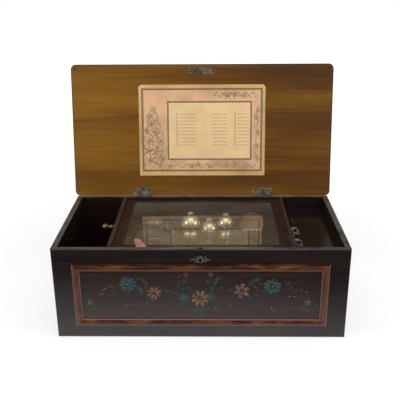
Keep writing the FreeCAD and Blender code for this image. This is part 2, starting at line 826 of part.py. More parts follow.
def barrel_arbor():
    y, z = barrel_y, barrel_z
    shaft = rod(barrel_arbor_radius, (lever_x - 4, y, z), (left_bracket_x + bracket_thickness + 2, y, z))
    root = ratchet_radius - ratchet_tooth_depth
    outline = []
    for i in range(ratchet_teeth):
        for radius, part in ((root, 0.0), (ratchet_radius, 0.9), (ratchet_radius, 1.0)):
            angle = math.radians((i + part) * 360.0 / ratchet_teeth)
            outline.append((ratchet_x, y + radius * math.cos(angle), z + radius * math.sin(angle)))
    wheel = prism(outline, (ratchet_thickness, 0, 0))
    nut = rod(barrel_arbor_radius + 3, (lever_x - 4, y, z), (lever_x, y, z))
    return fused([shaft, wheel, nut])


def click_pivot():
    return (barrel_y + 16, barrel_z + 14)


def ratchet_click():
    """A pawl screwed to the barrel bracket, its nose just off the ratchet teeth."""
    py, pz = click_pivot()
    x0, x1 = ratchet_x, ratchet_x + ratchet_thickness
    away = V(0, py - barrel_y, pz - barrel_z)
    away.normalize()
    nose = V(x0, barrel_y, barrel_z) + away * (ratchet_radius + click_clearance)
    side = X.cross(away)
    arm = prism([tuple(nose + side * 0.8), tuple(nose - side * 0.8),
                 (x0, py - side.y * 2.6, pz - side.z * 2.6),
                 (x0, py + side.y * 2.6, pz + side.z * 2.6)], (x1 - x0, 0, 0))
    hub = rod(2.8, (x0, py, pz), (x1, py, pz))
    pin = rod(click_pin_radius, (x1, py, pz), (barrel_bracket_x + bracket_thickness, py, pz))
    return [fused([arm, hub]), pin]


def handle_point():
    angle = math.radians(lever_rest_angle)
    return (barrel_y + lever_arm * math.sin(angle), barrel_z + lever_arm * math.cos(angle))


def winding_lever():
    y, z = barrel_y, barrel_z
    hy, hz = handle_point()
    x0, x1 = lever_x, lever_x + lever_thickness
    side_y, side_z = math.cos(math.radians(lever_rest_angle)), -math.sin(math.radians(lever_rest_angle))
    arm = prism([(x0, y + side_y * 7, z + side_z * 7), (x0, hy + side_y * 4.5, hz + side_z * 4.5),
                 (x0, hy - side_y * 4.5, hz - side_z * 4.5), (x0, y - side_y * 7, z - side_z * 7)],
                (x1 - x0, 0, 0))
    hub = rod(10, (x0, y, z), (x1, y, z))
    tip = rod(4.5, (x0, hy, hz), (x1, hy, hz))
    bore = rod(barrel_arbor_radius + running, (x0 - 1, y, z), (x1 + 1, y, z))
    return fused([arm, hub, tip]).cut(bore)


def lever_handle():
    hy, hz = handle_point()
    r = handle_ball_radius
    outline = [(0, 0), (4.2, 0), (4.2, 1.2), (2.6, 2.0), (3.6, 3.6), (4.4, 5.2), (3.6, 6.8), (2.4, 8.2),
               (2.3, 10.0),
               (3.4, 11.0)]
    outline += [(r * math.sin(math.radians(a)), 17 - r * math.cos(math.radians(a)))
                for a in range(40, 150, 15)]
    outline += [(2.0, 22.6), (1.8, 24.4), (0, 25.2)]
    return turned(outline, (lever_x, hy, hz), (-1, 0, 0))


# ---------------------------------------------------------------- cylinder and governor
def cylinder():
    y, z = cylinder_y, cylinder_z
    x0, x1 = cylinder_left, cylinder_right
    solid = rod(cylinder_radius, (x0, y, z), (x1, y, z))
    hollow = rod(cylinder_radius - cylinder_wall, (x0 + cylinder_cap, y, z), (x1 - cylinder_cap, y, z))
    bore = rod(arbor_radius + running, (x0 - 1, y, z), (x1 + 1, y, z))
    return solid.cut(hollow).cut(bore)


def cylinder_arbor():
    y, z = cylinder_y, cylinder_z
    shaft = rod(arbor_radius, (barrel_gear_x - 1, y, z), (right_bracket_x + bracket_thickness + 2, y, z))
    gap = mesh_angle() + 180 + 180.0 / arbor_pinion_teeth
    pinion = gear(arbor_pinion_teeth, barrel_module, barrel_gear_x, gear_face, y, z, arbor_radius - 1, gap)
    return fused([shaft, pinion])


def great_wheel():
    return gear(great_teeth, governor_module, great_x, great_face, cylinder_y, cylinder_z, arbor_radius,
                225.0)


def governor_arbor():
    y, z = governor_y, governor_z
    shaft = rod(governor_arbor_radius, (great_x - 2, y, z), (governor_plate_x + bracket_thickness + 1, y, z))
    gap = 45.0 + 180.0 / governor_pinion_teeth
    pinion = gear(governor_pinion_teeth, governor_module, great_x, great_face, y, z,
                  governor_arbor_radius - 1, gap)
    wheel = gear(worm_wheel_teeth, governor_module, worm_x - 2, 4.0, y, z, governor_arbor_radius - 1, 0)
    return fused([shaft, pinion, wheel])


def endless_screw():
    x, y = worm_x, worm_y
    z0 = governor_z - worm_length / 2
    z1 = governor_z + worm_length / 2
    shaft = rod(worm_core_radius, (x, y, z0 - 4), (x, y, z1 + 8))
    threads = []
    pitch = math.pi * governor_module
    for i in range(int(worm_length * 0.7 / pitch)):
        z = z0 + worm_length * 0.15 + i * pitch
        threads.append(turned([(1, 0), (worm_core_radius, 0), (worm_thread_radius, pitch * 0.3),
                               (worm_thread_radius, pitch * 0.45), (worm_core_radius, pitch * 0.75),
                               (1, pitch * 0.75)],
                              (x, y, z), (0, 0, 1)))
    stop = rod(worm_thread_radius, (x, y, z0 - 1), (x, y, z0))
    hub_z = z1 + 8
    hub = rod(3.0, (x, y, hub_z), (x, y, hub_z + fly_height))
    blades = box(x - fly_radius, x + fly_radius, y - 0.4, y + 0.4, hub_z + 1, hub_z + fly_height - 1)
    return [fused([shaft, stop] + threads), fused([hub, blades])]


# ---------------------------------------------------------------- hammers and what they strike
def castanet_beater_x(i):
    return castanet_x + (i - (castanet_beaters - 1) / 2) * castanet_beater_pitch


def hammer_rail():
    ends = (movement_left + 12, movement_right - 20)
    line = rod(rail_rod_radius, (ends[0], rail_y, rail_z), (ends[1], rail_y, rail_z))
    half = rail_post / 2
    posts = []
    for x in (ends[0] + half, *[cylinder_left + along for along in rail_posts_along], ends[1] - half):
        post = fused([box(x - half, x + half, rail_y - half, rail_y + half, bed_top, rail_z + half + 1),
                      box(x - half, x + half, rail_y - 8, rail_y + 8, bed_top, bed_top + 4)])
        posts.append(post.cut(rod(rail_rod_radius + running, (x - 9, rail_y, rail_z),
                                  (x + 9, rail_y, rail_z))))
    return [line] + posts


def hammer(x, heads, head_radius):
    """Hub on the rail's rod, a tail towards the cylinder and a stem to each head."""
    a, b = x - hub_width / 2, x + hub_width / 2
    parts = [rod(hub_radius, (a, rail_y, rail_z), (b, rail_y, rail_z))]
    parts.append(rod(1.2, (x, rail_y - 1.5, rail_z - 2), (x, rail_y - 7.5, rail_z - 8)))
    bore = rod(rail_rod_radius + running, (a - 1, rail_y, rail_z), (b + 1, rail_y, rail_z))
    for y, z in heads:
        parts.append(rod(stem_radius, (x, rail_y + 2.6, rail_z), (x, y, z)))
        parts.append(ball(head_radius, (x, y, z)))
    return fused(parts).cut(bore)


def bell_front(bell):
    """Centre of a hammer head that rests head_gap short of this bell, a little above its rim."""
    _, y, rim, radius, height = bell
    rise = 3.0
    surface = y - radius * math.sqrt(1 - (rise / height) ** 2)
    return (surface - head_gap - bell_head_radius, rim + rise)


def bell_hammers():
    lower = {bell[0]: bell for bell in lower_bells}
    made = []
    for bell in upper_bells:
        heads = [bell_front(bell)]
        if bell[0] in lower:
            heads.append(bell_front(lower[bell[0]]))
        shape = hammer(bell[0], heads, bell_head_radius)
        if bell[0] not in lower:
            shape = fused([shape, striker_wings(bell[0], heads[0])])
        made.append(shape)
    return made


def striker_wings(x, head):
    """A butterfly on the stem of the middle hammer, facing the front."""
    y, z = head[0] - 2.4, head[1] - 3.0
    wings = []
    for s in (-1, 1):
        for t, reach in ((1, 8.5), (-1, 6.5)):
            outline = [(x, y, z), (x + s * reach * 0.5, y, z + t * 6.0), (x + s * reach, y, z + t * 6.6),
                       (x + s * reach, y, z + t * 2.4)]
            wings.append(prism(outline, (0, 1.2, 0)))
    body = rod(1.5, (x, y + 0.6, z - 6), (x, y + 0.6, z + 4))
    return fused(wings + [body])


def bell(spec):
    x, y, rim, radius, height = spec
    outline = [(radius, 0)]
    for i in range(1, 13):
        angle = math.radians(i * 90 / 12)
        outline.append((radius * math.cos(angle), height * math.sin(angle)))
    r, h = radius - bell_wall, height - bell_wall
    for i in range(12, 0, -1):
        angle = math.radians(i * 90 / 12)
        outline.append((r * math.cos(angle), h * math.sin(angle)))
    outline.append((r, 0))
    outline = [(max(u, 0.0), v) for u, v in outline]
    dome = turned(outline, (x, y, rim), (0, 0, 1))
    return dome.cut(rod(bell_rod_radius + running, (x, y, rim), (x, y, rim + height + 1)))


def bells():
    return [bell(spec) for spec in upper_bells + lower_bells]


def drum_axes():
    """Drum centre at its back, the way its skin faces, and up along the skin."""
    tilt = math.radians(drum_tilt)
    face = V(0, -math.cos(tilt), -math.sin(tilt))
    up = V(0, -math.sin(tilt), math.cos(tilt))
    back = V(drum_x, drum_y, drum_z) - face * (drum_height / 2)
    return back, face, up


def castanet_axes():
    lean = math.radians(castanet_lean)
    face = V(0, -math.cos(lean), math.sin(lean))
    up = V(0, math.sin(lean), math.cos(lean))
    return V(castanet_x, castanet_y, castanet_z), face, up


def bell_seat(rim, radius, height):
    """Height at which a post's shoulder meets the inside of a bell's crown."""
    return rim + (height - bell_wall) * math.sqrt(1 - (bell_post_radius / (radius - bell_wall)) ** 2)


def instrument_posts():
    """Stepped posts with a spacer between stacked bells, the drum's arm and the castanet's post."""
    lower = {bell_spec[0]: bell_spec for bell_spec in lower_bells}
    parts = []
    for x, y, rim, radius, height in upper_bells:
        under = bell_seat(rim, radius, height)
        top = rim + height
        first = under
        if x in lower:
            first = bell_seat(*lower[x][2:])
        post = fused([rod(bell_post_foot, (x, y, bed_top), (x, y, bed_top + post_foot_height)),
                      rod(bell_post_radius, (x, y, bed_top), (x, y, first)),
                      rod(bell_rod_radius, (x, y, first), (x, y, top + finial_height - 2))])
        parts.append(post)
        if x in lower:
            start = lower[x][2] + lower[x][4]
            spacer = rod(bell_post_radius, (x, y, start), (x, y, under))
            parts.append(spacer.cut(rod(bell_rod_radius + running, (x, y, start - 1), (x, y, under + 1))))
    back, face, _ = drum_axes()
    end = back - face * drum_arm
    pad = Part.makeCylinder(drum_pad_radius, drum_pad, back - face * drum_pad, face)
    arm = Part.makeCylinder(drum_arm_radius, drum_arm, end, face)
    post = rod(drum_post_radius, (end.x, end.y, bed_top), (end.x, end.y, end.z))
    foot = rod(post_foot, (end.x, end.y, bed_top), (end.x, end.y, bed_top + post_foot_height))
    parts.append(fused([pad, arm, post, ball(drum_post_radius, tuple(end)), foot]))
    cx, cy = castanet_post_place()
    parts.append(fused([rod(castanet_post_radius, (cx, cy, bed_top),
                            (cx, cy, castanet_z - castanet_radius + 8)),
                        rod(post_foot, (cx, cy, bed_top), (cx, cy, bed_top + post_foot_height))]))
    return parts


def castanet_post_place():
    centre, face, up = castanet_axes()
    low = centre - face * (castanet_thickness / 2) - up * (castanet_radius - 6)
    return (low.x, low.y)


def bell_finials():
    """A flower nut on each post: a turned hub with a ring of round petals."""
    nuts = []
    for x, y, rim, _, height in upper_bells:
        z = rim + height
        hub = turned([(0, 0), (3.4, 0), (2.6, 1.6), (4.6, 3.0), (4.6, 4.4), (2.8, finial_height),
                      (0, finial_height)],
                     (x, y, z), (0, 0, 1))
        petals = []
        for i in range(finial_petals):
            angle = 2 * math.pi * (i + 0.5) / finial_petals
            reach = finial_radius - finial_petal
            centre = (x + reach * math.cos(angle), y + reach * math.sin(angle))
            petals.append(rod(finial_petal, (*centre, z + 2.4), (*centre, z + 4.9)))
        nut = fused([hub] + petals)
        nuts.append(nut.cut(rod(bell_rod_radius + running, (x, y, z - 1), (x, y, z + finial_height - 2))))
    return nuts


def drum_shell():
    """Pan with a flared flange, and the clawed hoop that clamps the skin on it."""
    back, face, up = drum_axes()
    h, w = drum_height, drum_wall
    pan_outline = [(0, 0), (drum_radius, 0), (drum_radius + 2, h - 7), (drum_flange_radius, h - drum_flange),
                   (drum_flange_radius, h), (drum_skin_radius - 2, h),
                   (drum_skin_radius - 2, h - drum_flange + 1),
                   (drum_radius + 2 - w, h - 6), (drum_radius - w, w), (0, w)]
    pan = turned(pan_outline, tuple(back), tuple(face))
    outer = drum_flange_radius + 0.3
    inner = outer - drum_hoop_width
    z0 = h + drum_skin
    hoop = turned([(inner, z0), (outer, z0), (outer, z0 + drum_hoop), (inner, z0 + drum_hoop)], tuple(back),
                  tuple(face))
    claws = []
    for i in range(drum_claws):
        claw = box(-2.0, 2.0, outer, outer + 1.8, h - drum_flange, z0 + drum_hoop)
        lug = box(-2.0, 2.0, outer - 3.0, outer + 1.8, z0 + drum_hoop, z0 + drum_hoop + 1.2)
        piece = fused([claw, lug])
        piece.rotate(V(0, 0, 0), Z, i * 360.0 / drum_claws + 180.0 / drum_claws)
        claws.append(piece)
    turn = FreeCAD.Placement(back, FreeCAD.Rotation(X.negative(), up, face, "ZXY"))
    placed = []
    for claw in claws:
        copy = claw.copy()
        copy.Placement = turn.multiply(copy.Placement)
        placed.append(copy)
    return [pan, fused([hoop] + placed)]


def drum_head():
    back, face, _ = drum_axes()
    return Part.makeCylinder(drum_skin_radius, drum_skin, back + face * drum_height, face)


def castanet_block():
    centre, face, _ = castanet_axes()
    start = centre - face * castanet_thickness
    block = Part.makeCylinder(castanet_radius, castanet_thickness, start, face)
    outer = castanet_radius - castanet_lip
    groove = Part.makeCylinder(outer, castanet_groove + 1, centre - face * castanet_groove, face)
    groove = groove.cut(Part.makeCylinder(outer - castanet_groove_width, castanet_thickness, start, face))
    x, y = castanet_post_place()
    socket = rod(castanet_post_radius + running, (x, y, bed_top), (x, y, castanet_z - castanet_radius + 8))
    return block.cut(groove).cut(socket)


def drum_beater_nodes():
    back, face, up = drum_axes()
    at = back + face * (drum_height + drum_skin + drum_gap + beater_head_radius) + up * drum_strike_height
    made = []
    for i in range(drum_beaters):
        made.append(hammer(drum_beater_first + i * drum_beater_pitch, [(at.y, at.z)], beater_head_radius))
    return made


def castanet_beater_nodes():
    centre, face, up = castanet_axes()
    at = centre + face * (head_gap + beater_head_radius) - up * castanet_strike_drop
    made = []
    for i in range(castanet_beaters):
        made.append(hammer(castanet_beater_x(i), [(at.y, at.z)], beater_head_radius))
    return made


# ---------------------------------------------------------------- control levers
def control_lever(y, thumb):
    """A stem on its pin, up through the deck's slot, with a fan or a knob for the thumb."""
    half = control_stem / 2
    x0, x1 = control_x - half, control_x + half
    neck = deck_top + 6
    stem = box(x0, x1, y - half, y + half, control_pivot_z - 16, neck)
    hub = rod(5, (x0, y, control_pivot_z), (x1, y, control_pivot_z))
    if thumb < 6:
        top = fused([rod(1.2, (control_x, y, neck), (control_x, y, neck + 6)),
                     ball(thumb, (control_x, y, neck + 8))])
    else:
        outline = [(control_x - 1.5, neck - 1)]
        for i in range(9):
            angle = math.radians(-8 + i * 14.5)
            outline.append((control_x - 3 + thumb * 1.25 * math.cos(angle),
                            neck - 1 + thumb * 1.25 * math.sin(angle)))
        top = prism([(u, y - 1.2, v) for u, v in outline], (0, 2.4, 0))
        hollow = rod(thumb * 0.42, (control_x + thumb * 0.15, y - 3, neck + thumb * 0.48),
                     (control_x + thumb * 0.15, y + 3, neck + thumb * 0.48))
        top = top.cut(hollow)
    bore = rod(control_pin_radius + running, (x0 - 1, y, control_pivot_z), (x1 + 1, y, control_pivot_z))
    return fused([stem, hub, top]).cut(bore)


# ---------------------------------------------------------------- one file for each node
os.makedirs("parts", exist_ok=True)

for build in (case_front, case_back, case_sides, bottom_board, front_moulding, left_partition,
              right_partition,
              control_deck, escutcheon, box_lock, lock_bolt, case_hinge_leaves, hinge_pins, lid_panel,
              lid_hinge_leaves, lid_screws, strike_plate, tune_card, glass_frame, glass_pane, lift_tab,
              bedplate,
              bearing_brackets, comb_base, comb,
              movement_screws, spring_barrel, mainspring, barrel_arbor, ratchet_click, winding_lever,
              lever_handle,
              cylinder, cylinder_arbor, great_wheel, governor_arbor, endless_screw, hammer_rail,
              instrument_posts,
              bell_finials, bells, drum_shell, drum_head, castanet_block):
    save(build.__name__, build())

for number, shape in enumerate(bell_hammers(), 1):
    save("bell_hammer_" + str(number), shape)
for number, shape in enumerate(drum_beater_nodes(), 1):
    save("drum_beater_" + str(number), shape)
for number, shape in enumerate(castanet_beater_nodes(), 1):
    save("castanet_beater_" + str(number), shape)
for name, place, size in control_levers:
    save(name, control_lever(place, size))
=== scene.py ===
"""Cylinder music box with a painted front, bells, drum and castanet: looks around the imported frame."""
import bmesh
import bpy
import json
import math
import random
from mathutils import Matrix, Vector


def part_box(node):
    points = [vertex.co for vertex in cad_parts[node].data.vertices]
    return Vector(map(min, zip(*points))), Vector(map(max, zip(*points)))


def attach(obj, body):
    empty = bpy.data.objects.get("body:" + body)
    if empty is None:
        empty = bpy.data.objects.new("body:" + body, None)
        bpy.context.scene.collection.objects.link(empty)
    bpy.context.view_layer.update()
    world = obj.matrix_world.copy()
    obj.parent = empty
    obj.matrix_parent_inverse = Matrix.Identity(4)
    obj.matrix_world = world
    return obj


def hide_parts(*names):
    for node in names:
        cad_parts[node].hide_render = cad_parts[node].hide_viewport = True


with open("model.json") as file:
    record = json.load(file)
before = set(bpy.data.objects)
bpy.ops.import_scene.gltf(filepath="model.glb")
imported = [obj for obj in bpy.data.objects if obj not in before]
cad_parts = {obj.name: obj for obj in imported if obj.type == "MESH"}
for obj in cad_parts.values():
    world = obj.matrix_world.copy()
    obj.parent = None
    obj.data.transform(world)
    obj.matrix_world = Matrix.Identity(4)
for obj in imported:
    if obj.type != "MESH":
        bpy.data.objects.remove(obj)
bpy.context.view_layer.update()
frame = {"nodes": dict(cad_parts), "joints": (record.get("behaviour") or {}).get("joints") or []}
nodes = frame["nodes"]
MM = 0.001

# ---- Studio -------------------------------------------------------------------------------
# A plain pale floor that runs on out of sight, two soft boxes low at the sides, one overhead
# and a pale world. The camera looks down on the box from the front.
LENS = 57.42
EYE = (0.02098, -1.20405, 0.70655)
LOOK_DOWN, LOOK_ASIDE, ROLL = math.radians(21.44), math.radians(-1.11), math.radians(-0.46)

camera = bpy.data.objects.new("camera", bpy.data.cameras.new("camera"))
camera.data.lens = LENS
camera.data.sensor_width = 36
forward = Vector((math.sin(LOOK_ASIDE) * math.cos(LOOK_DOWN), math.cos(LOOK_ASIDE) * math.cos(LOOK_DOWN),
                  -math.sin(LOOK_DOWN)))
level = Vector((math.cos(LOOK_ASIDE), -math.sin(LOOK_ASIDE), 0))
upward = level.cross(forward)
right = math.cos(ROLL) * level + math.sin(ROLL) * upward
above = math.cos(ROLL) * upward - math.sin(ROLL) * level
camera.matrix_world = Matrix.Translation(EYE) @ Matrix((right, above, -forward)).transposed().to_4x4()
bpy.context.scene.collection.objects.link(camera)
bpy.context.scene.camera = camera
bpy.context.scene.view_settings.view_transform = "Standard"


def new_material(name):
    """An empty material, its tree and its principled shader."""
    made = bpy.data.materials.new(name)
    made.use_nodes = True
    tree = made.node_tree
    tree.nodes.clear()
    output = tree.nodes.new("ShaderNodeOutputMaterial")
    shader = tree.nodes.new("ShaderNodeBsdfPrincipled")
    tree.links.new(shader.outputs["BSDF"], output.inputs["Surface"])
    return made, tree, shader


def plug(tree, socket, value):
    """Joins an output to an input socket, or sets the socket to a plain value."""
    if isinstance(value, bpy.types.NodeSocket):
        tree.links.new(value, socket)
    elif socket.type == "RGBA":
        socket.default_value = (*value, 1)
    else:
        socket.default_value = value


def wired(tree, kind, **feeds):
    """A new node whose named inputs are plugged from outputs or plain values."""
    made = tree.nodes.new(kind)
    for name, value in feeds.items():
        plug(tree, made.inputs[name], value)
    return made


VECTORS = "ShaderNodeVectorMath"


def calc(tree, operation, *operands, kind="ShaderNodeMath"):
    """One math node; each operand is an output or a plain value."""
    made = tree.nodes.new(kind)
    made.operation = operation
    for socket, operand in zip(made.inputs, operands):
        plug(tree, socket, operand)
    return made.outputs["Vector" if kind == VECTORS and operation != "LENGTH" else "Value"]


def spread(tree, value, low, high, first=0.0, last=1.0, course="LINEAR"):
    """Carries low..high over to first..last, and holds the value at both ends."""
    made = tree.nodes.new("ShaderNodeMapRange")
    made.interpolation_type = course
    tree.links.new(value, made.inputs["Value"])
    for name, number in (("From Min", low), ("From Max", high), ("To Min", first), ("To Max", last)):
        made.inputs[name].default_value = number
    return made.outputs["Result"]


def own_place(tree):
    """The object's own coordinates."""
    return tree.nodes.new("ShaderNodeTexCoord").outputs["Object"]


FLOOR_REACH, FLOOR_DROP = 6.0, 0.4 * MM
floor_mesh = bpy.data.meshes.new("floor")
floor_mesh.from_pydata([(-FLOOR_REACH, -FLOOR_REACH, 0), (FLOOR_REACH, -FLOOR_REACH, 0),
                        (FLOOR_REACH, FLOOR_REACH, 0), (-FLOOR_REACH, FLOOR_REACH, 0)], [], [(0, 1, 2, 3)])
floor = bpy.data.objects.new("floor", floor_mesh)
floor.location.z = -FLOOR_DROP
bpy.context.scene.collection.objects.link(floor)

floor_paint, tree, shader = new_material("floor_paper")
shader.inputs["Roughness"].default_value = 0.9
shader.inputs["Specular IOR Level"].default_value = 0.0
shader.inputs["Emission Color"].default_value = (1, 1, 1, 1)
# To the camera the floor glows paler further out, and in reflections it glows only near the box.
path = tree.nodes.new("ShaderNodeLightPath").outputs
place = own_place(tree)
away = calc(tree, "LENGTH", place, kind=VECTORS)
pool = calc(tree, "MULTIPLY_ADD", place, (0.45, 1, 1), (0.05, 0, 0), kind=VECTORS)
from_pool = calc(tree, "LENGTH", pool, kind=VECTORS)
seen = calc(tree, "MULTIPLY", path["Is Camera Ray"], spread(tree, away, 0.5, 2.0, 0.68, 1.0))
mirrored = calc(tree, "MULTIPLY", path["Is Glossy Ray"], spread(tree, from_pool, 0.20, 0.40, 1.15, 0.0))
tree.links.new(calc(tree, "ADD", seen, mirrored), shader.inputs["Emission Strength"])
tree.links.new(calc(tree, "MULTIPLY_ADD", path["Is Glossy Ray"], -0.26, 0.36), shader.inputs["Base Color"])
floor_mesh.materials.append(floor_paint)

world = bpy.data.worlds.new("studio")
bpy.context.scene.world = world
world.use_nodes = True
tree = world.node_tree
background = tree.nodes["Background"]
background.inputs["Color"].default_value = (1, 1, 1, 1)
path = tree.nodes.new("ShaderNodeLightPath").outputs
through = calc(tree, "MAXIMUM", path["Is Camera Ray"], path["Is Transmission Ray"])
glow = calc(tree, "MULTIPLY_ADD", through, 0.6, 0.4)
glow = calc(tree, "MULTIPLY_ADD", path["Is Glossy Ray"], -0.18, glow)
tree.links.new(glow, background.inputs["Strength"])


def soft_box(name, where, aim, width, height, watts):
    """A rectangular lamp that points at a place."""
    lamp = bpy.data.lights.new(name, "AREA")
    lamp.shape = "RECTANGLE"
    lamp.size, lamp.size_y, lamp.energy = width, height, watts
    holder = bpy.data.objects.new(name, lamp)
    holder.location = where
    holder.rotation_euler = (Vector(aim) - Vector(where)).to_track_quat("-Z", "Y").to_euler()
    bpy.context.scene.collection.objects.link(holder)
    return holder


soft_box("left_box", (-1.85, -0.85, 0.90), (0, 0, 0.2), 0.7, 0.9, 15)
soft_box("right_box", (1.85, -0.85, 1.00), (0, 0, 0.2), 0.7, 0.9, 16)
soft_box("top_box", (0.1, -0.6, 2.3), (0, 0, 0.1), 2.2, 1.6, 23).visible_glossy = False

# ---- Case boards --------------------------------------------------------------------------
# Front, back and sides of ebonised hardwood, butted and glued, rubbed to a soft shine. The
# rim is worn grey where the lid lands on it, and its top is also painted grey as a sheen. The
# plain bottom is let in between them.
CASE_BLACK, CASE_BROWN = (0.0062, 0.0034, 0.0028), (0.021, 0.0108, 0.0092)
PANEL_DARK, PANEL_WARM = (0.013, 0.0060, 0.0048), (0.042, 0.0180, 0.0135)
RIM_GREY_WEAR_AND_SHEEN = (0.085, 0.072, 0.060)


def noise_on(tree, place, scale, detail, roughness=0.5, wander=0.0, shift=(0, 0, 0)):
    """Noise on some coordinates; scale is streaks or spots per metre along X, Y and Z."""
    mapping = wired(tree, "ShaderNodeMapping", Vector=place, Scale=scale, Location=shift)
    return wired(tree, "ShaderNodeTexNoise", Vector=mapping.outputs["Vector"], Scale=1.0, Detail=detail,
                 Roughness=roughness, Distortion=wander).outputs["Fac"]


def grain(tree, run, length, fine, seed, detail=6.0):
    """Noise drawn out along X, Y or Z: length is streaks per metre that way, fine across it."""
    scale = [fine, fine, fine]
    scale["XYZ".index(run)] = length
    return noise_on(tree, own_place(tree), scale, detail, 0.62, shift=(seed, seed * 0.7, seed * 1.3))


def ramp(tree, factor, stops):
    """A colour ramp through (position, colour) stops."""
    made = tree.nodes.new("ShaderNodeValToRGB")
    band = made.color_ramp
    while len(band.elements) < len(stops):
        band.elements.new(0.5)
    for element, (position, colour) in zip(band.elements, stops):
        element.position = position
        element.color = (*colour, 1)
    tree.links.new(factor, made.inputs["Fac"])
    return made.outputs["Color"]


def mixed(tree, factor, first, second):
    """Colour mix; each colour is an output or a tuple."""
    made = tree.nodes.new("ShaderNodeMix")
    made.data_type = "RGBA"
    tree.links.new(factor, made.inputs["Factor"])
    for socket, colour in zip([put for put in made.inputs if put.type == "RGBA"], (first, second)):
        plug(tree, socket, colour)
    return next(out for out in made.outputs if out.type == "RGBA")


def stepped(tree, value, low, high, first=0.0, last=1.0):
    """first below low, last above high, smooth between."""
    return spread(tree, value, low, high, first, last, "SMOOTHSTEP")


def axes(tree, place=None):
    """The X, Y and Z of some coordinates, or of the object's own."""
    return wired(tree, "ShaderNodeSeparateXYZ", Vector=place or own_place(tree)).outputs


def bumped(tree, shader, height, strength, depth):
    bump = wired(tree, "ShaderNodeBump", Height=height, Strength=strength, Distance=depth)
    tree.links.new(bump.outputs["Normal"], shader.inputs["Normal"])


def surface(tree, shader, colour, roughness, metallic=0.0):
    """Colour, roughness and metal of a finish: an output where it varies, a plain value where not."""
    for name, value in (("Base Color", colour), ("Roughness", roughness), ("Metallic", metallic)):
        plug(tree, shader.inputs[name], value)


def finish(node, material):
    """Gives a CAD node's object one material in every slot."""
    piece = nodes[node]
    if not piece.data.materials:
        piece.data.materials.append(material)
    for holder in piece.material_slots:
        holder.material = material


rim_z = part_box("case_front")[1].z
moulding_low, moulding_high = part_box("front_moulding")
VENEER_EDGE, VENEER_IN = 8 * MM, 9 * MM


def moulding_gaps(tree, x, z):
    """How far a point lies in from the moulding's outer edge: from its sides, and from its ends."""
    side_gap = calc(tree, "SUBTRACT", moulding_high.x, calc(tree, "ABSOLUTE", x))
    end_gap = calc(tree, "MINIMUM", calc(tree, "SUBTRACT", z, moulding_low.z),
                   calc(tree, "SUBTRACT", moulding_high.z, z))
    return side_gap, end_gap


def ebonised(name, run, seed, panel=False):
    """Black-brown polished wood, grain along one axis, and a rim grey with wear and painted sheen."""
    made, tree, shader = new_material(name)
    streaks = grain(tree, run, 5, 260, seed)
    clouds = stepped(tree, grain(tree, run, 4, 14, seed + 3, 2.0), 0.35, 0.7)
    colour = mixed(tree, clouds, ramp(tree, streaks, [(0.3, CASE_BLACK), (0.75, CASE_BROWN)]), CASE_BROWN)
    x, y, z = axes(tree)
    if panel:
        inside = stepped(tree, calc(tree, "MINIMUM", *moulding_gaps(tree, x, z)), VENEER_EDGE, VENEER_IN)
        veneer = ramp(tree, grain(tree, run, 7, 190, seed + 9), [(0.32, PANEL_DARK), (0.7, PANEL_WARM)])
        colour = mixed(tree, inside, colour, veneer)
    # The top of the rim is painted grey: partly real wear, partly a painted sheen for the light it catches.
    rub_and_painted_sheen = calc(tree, "MULTIPLY", stepped(tree, z, rim_z - 1.4 * MM, rim_z - 0.3 * MM),
               stepped(tree, grain(tree, run, 30, 120, seed + 5), 0.25, 0.6))
    surface(tree, shader, mixed(tree, rub_and_painted_sheen, colour, RIM_GREY_WEAR_AND_SHEEN), spread(tree, streaks, 0, 1, 0.16, 0.34))
    bumped(tree, shader, streaks, 0.12, 0.3 * MM)
    return made


finish("case_front", ebonised("ebonised_front", "X", 1.0, panel=True))
finish("case_back", ebonised("ebonised_back", "X", 4.0))
finish("case_sides", ebonised("ebonised_sides", "Y", 7.0))

bottom_wood, tree, shader = new_material("bottom_pine")
surface(tree, shader, ramp(tree, grain(tree, "X", 3, 70, 2.0), [(0.3, (0.05, 0.03, 0.018)),
                                                               (0.7, (0.11, 0.07, 0.04))]), 0.7)
finish("bottom_board", bottom_wood)

# ---- Front moulding -----------------------------------------------------------------------
# Four mitred strips glued to the front. The rounded face is painted like tortoiseshell, and
# the low fillets on both edges are rubbed to a pinkish brown.
TORTOISE = [(0.30, (0.012, 0.004, 0.002)), (0.46, (0.055, 0.015, 0.004)), (0.60, (0.140, 0.044, 0.009)),
            (0.76, (0.26, 0.095, 0.018))]
FILLET_PINK = (0.30, 0.150, 0.115)
STRIP = 14 * MM
moulding_paint, tree, shader = new_material("tortoiseshell_moulding")
x, y, z = axes(tree)
side_gap, end_gap = moulding_gaps(tree, x, z)
inward = calc(tree, "MINIMUM", side_gap, end_gap)
on_side = calc(tree, "LESS_THAN", side_gap, end_gap)
lower_half = calc(tree, "LESS_THAN", z, (moulding_low.z + moulding_high.z) / 2)
outer_fillet = calc(tree, "MULTIPLY", stepped(tree, inward, 1.2 * MM, 1.7 * MM, 1, 0),
                    calc(tree, "MAXIMUM", on_side, lower_half))
inner_fillet = stepped(tree, inward, STRIP - 1.8 * MM, STRIP - 1.3 * MM)
fillets = calc(tree, "MAXIMUM", outer_fillet, inner_fillet)
flames = grain(tree, "X", 22, 85, 12.0, 3.0)
along_side = ramp(tree, grain(tree, "Z", 22, 85, 15.0, 3.0), TORTOISE)
paler_side = mixed(tree, calc(tree, "MULTIPLY", on_side, 0.18), along_side, FILLET_PINK)
shell = mixed(tree, on_side, ramp(tree, flames, TORTOISE), paler_side)
surface(tree, shader, mixed(tree, fillets, shell, FILLET_PINK), 0.24)
shader.inputs["Specular IOR Level"].default_value = 0.35
bumped(tree, shader, flames, 0.05, 0.3 * MM)
finish("front_moulding", moulding_paint)

# ---- Painted garland ----------------------------------------------------------------------
# Oil paint laid on the dark panel by hand: petals and leaves are single loaded strokes, a
# little raised in the middle, gone thin and dull with age. It is flowers, buds, leaves, dots.
PAINT_RISE = 0.25 * MM
panel_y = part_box("case_front")[0].y
chance = random.Random(7)


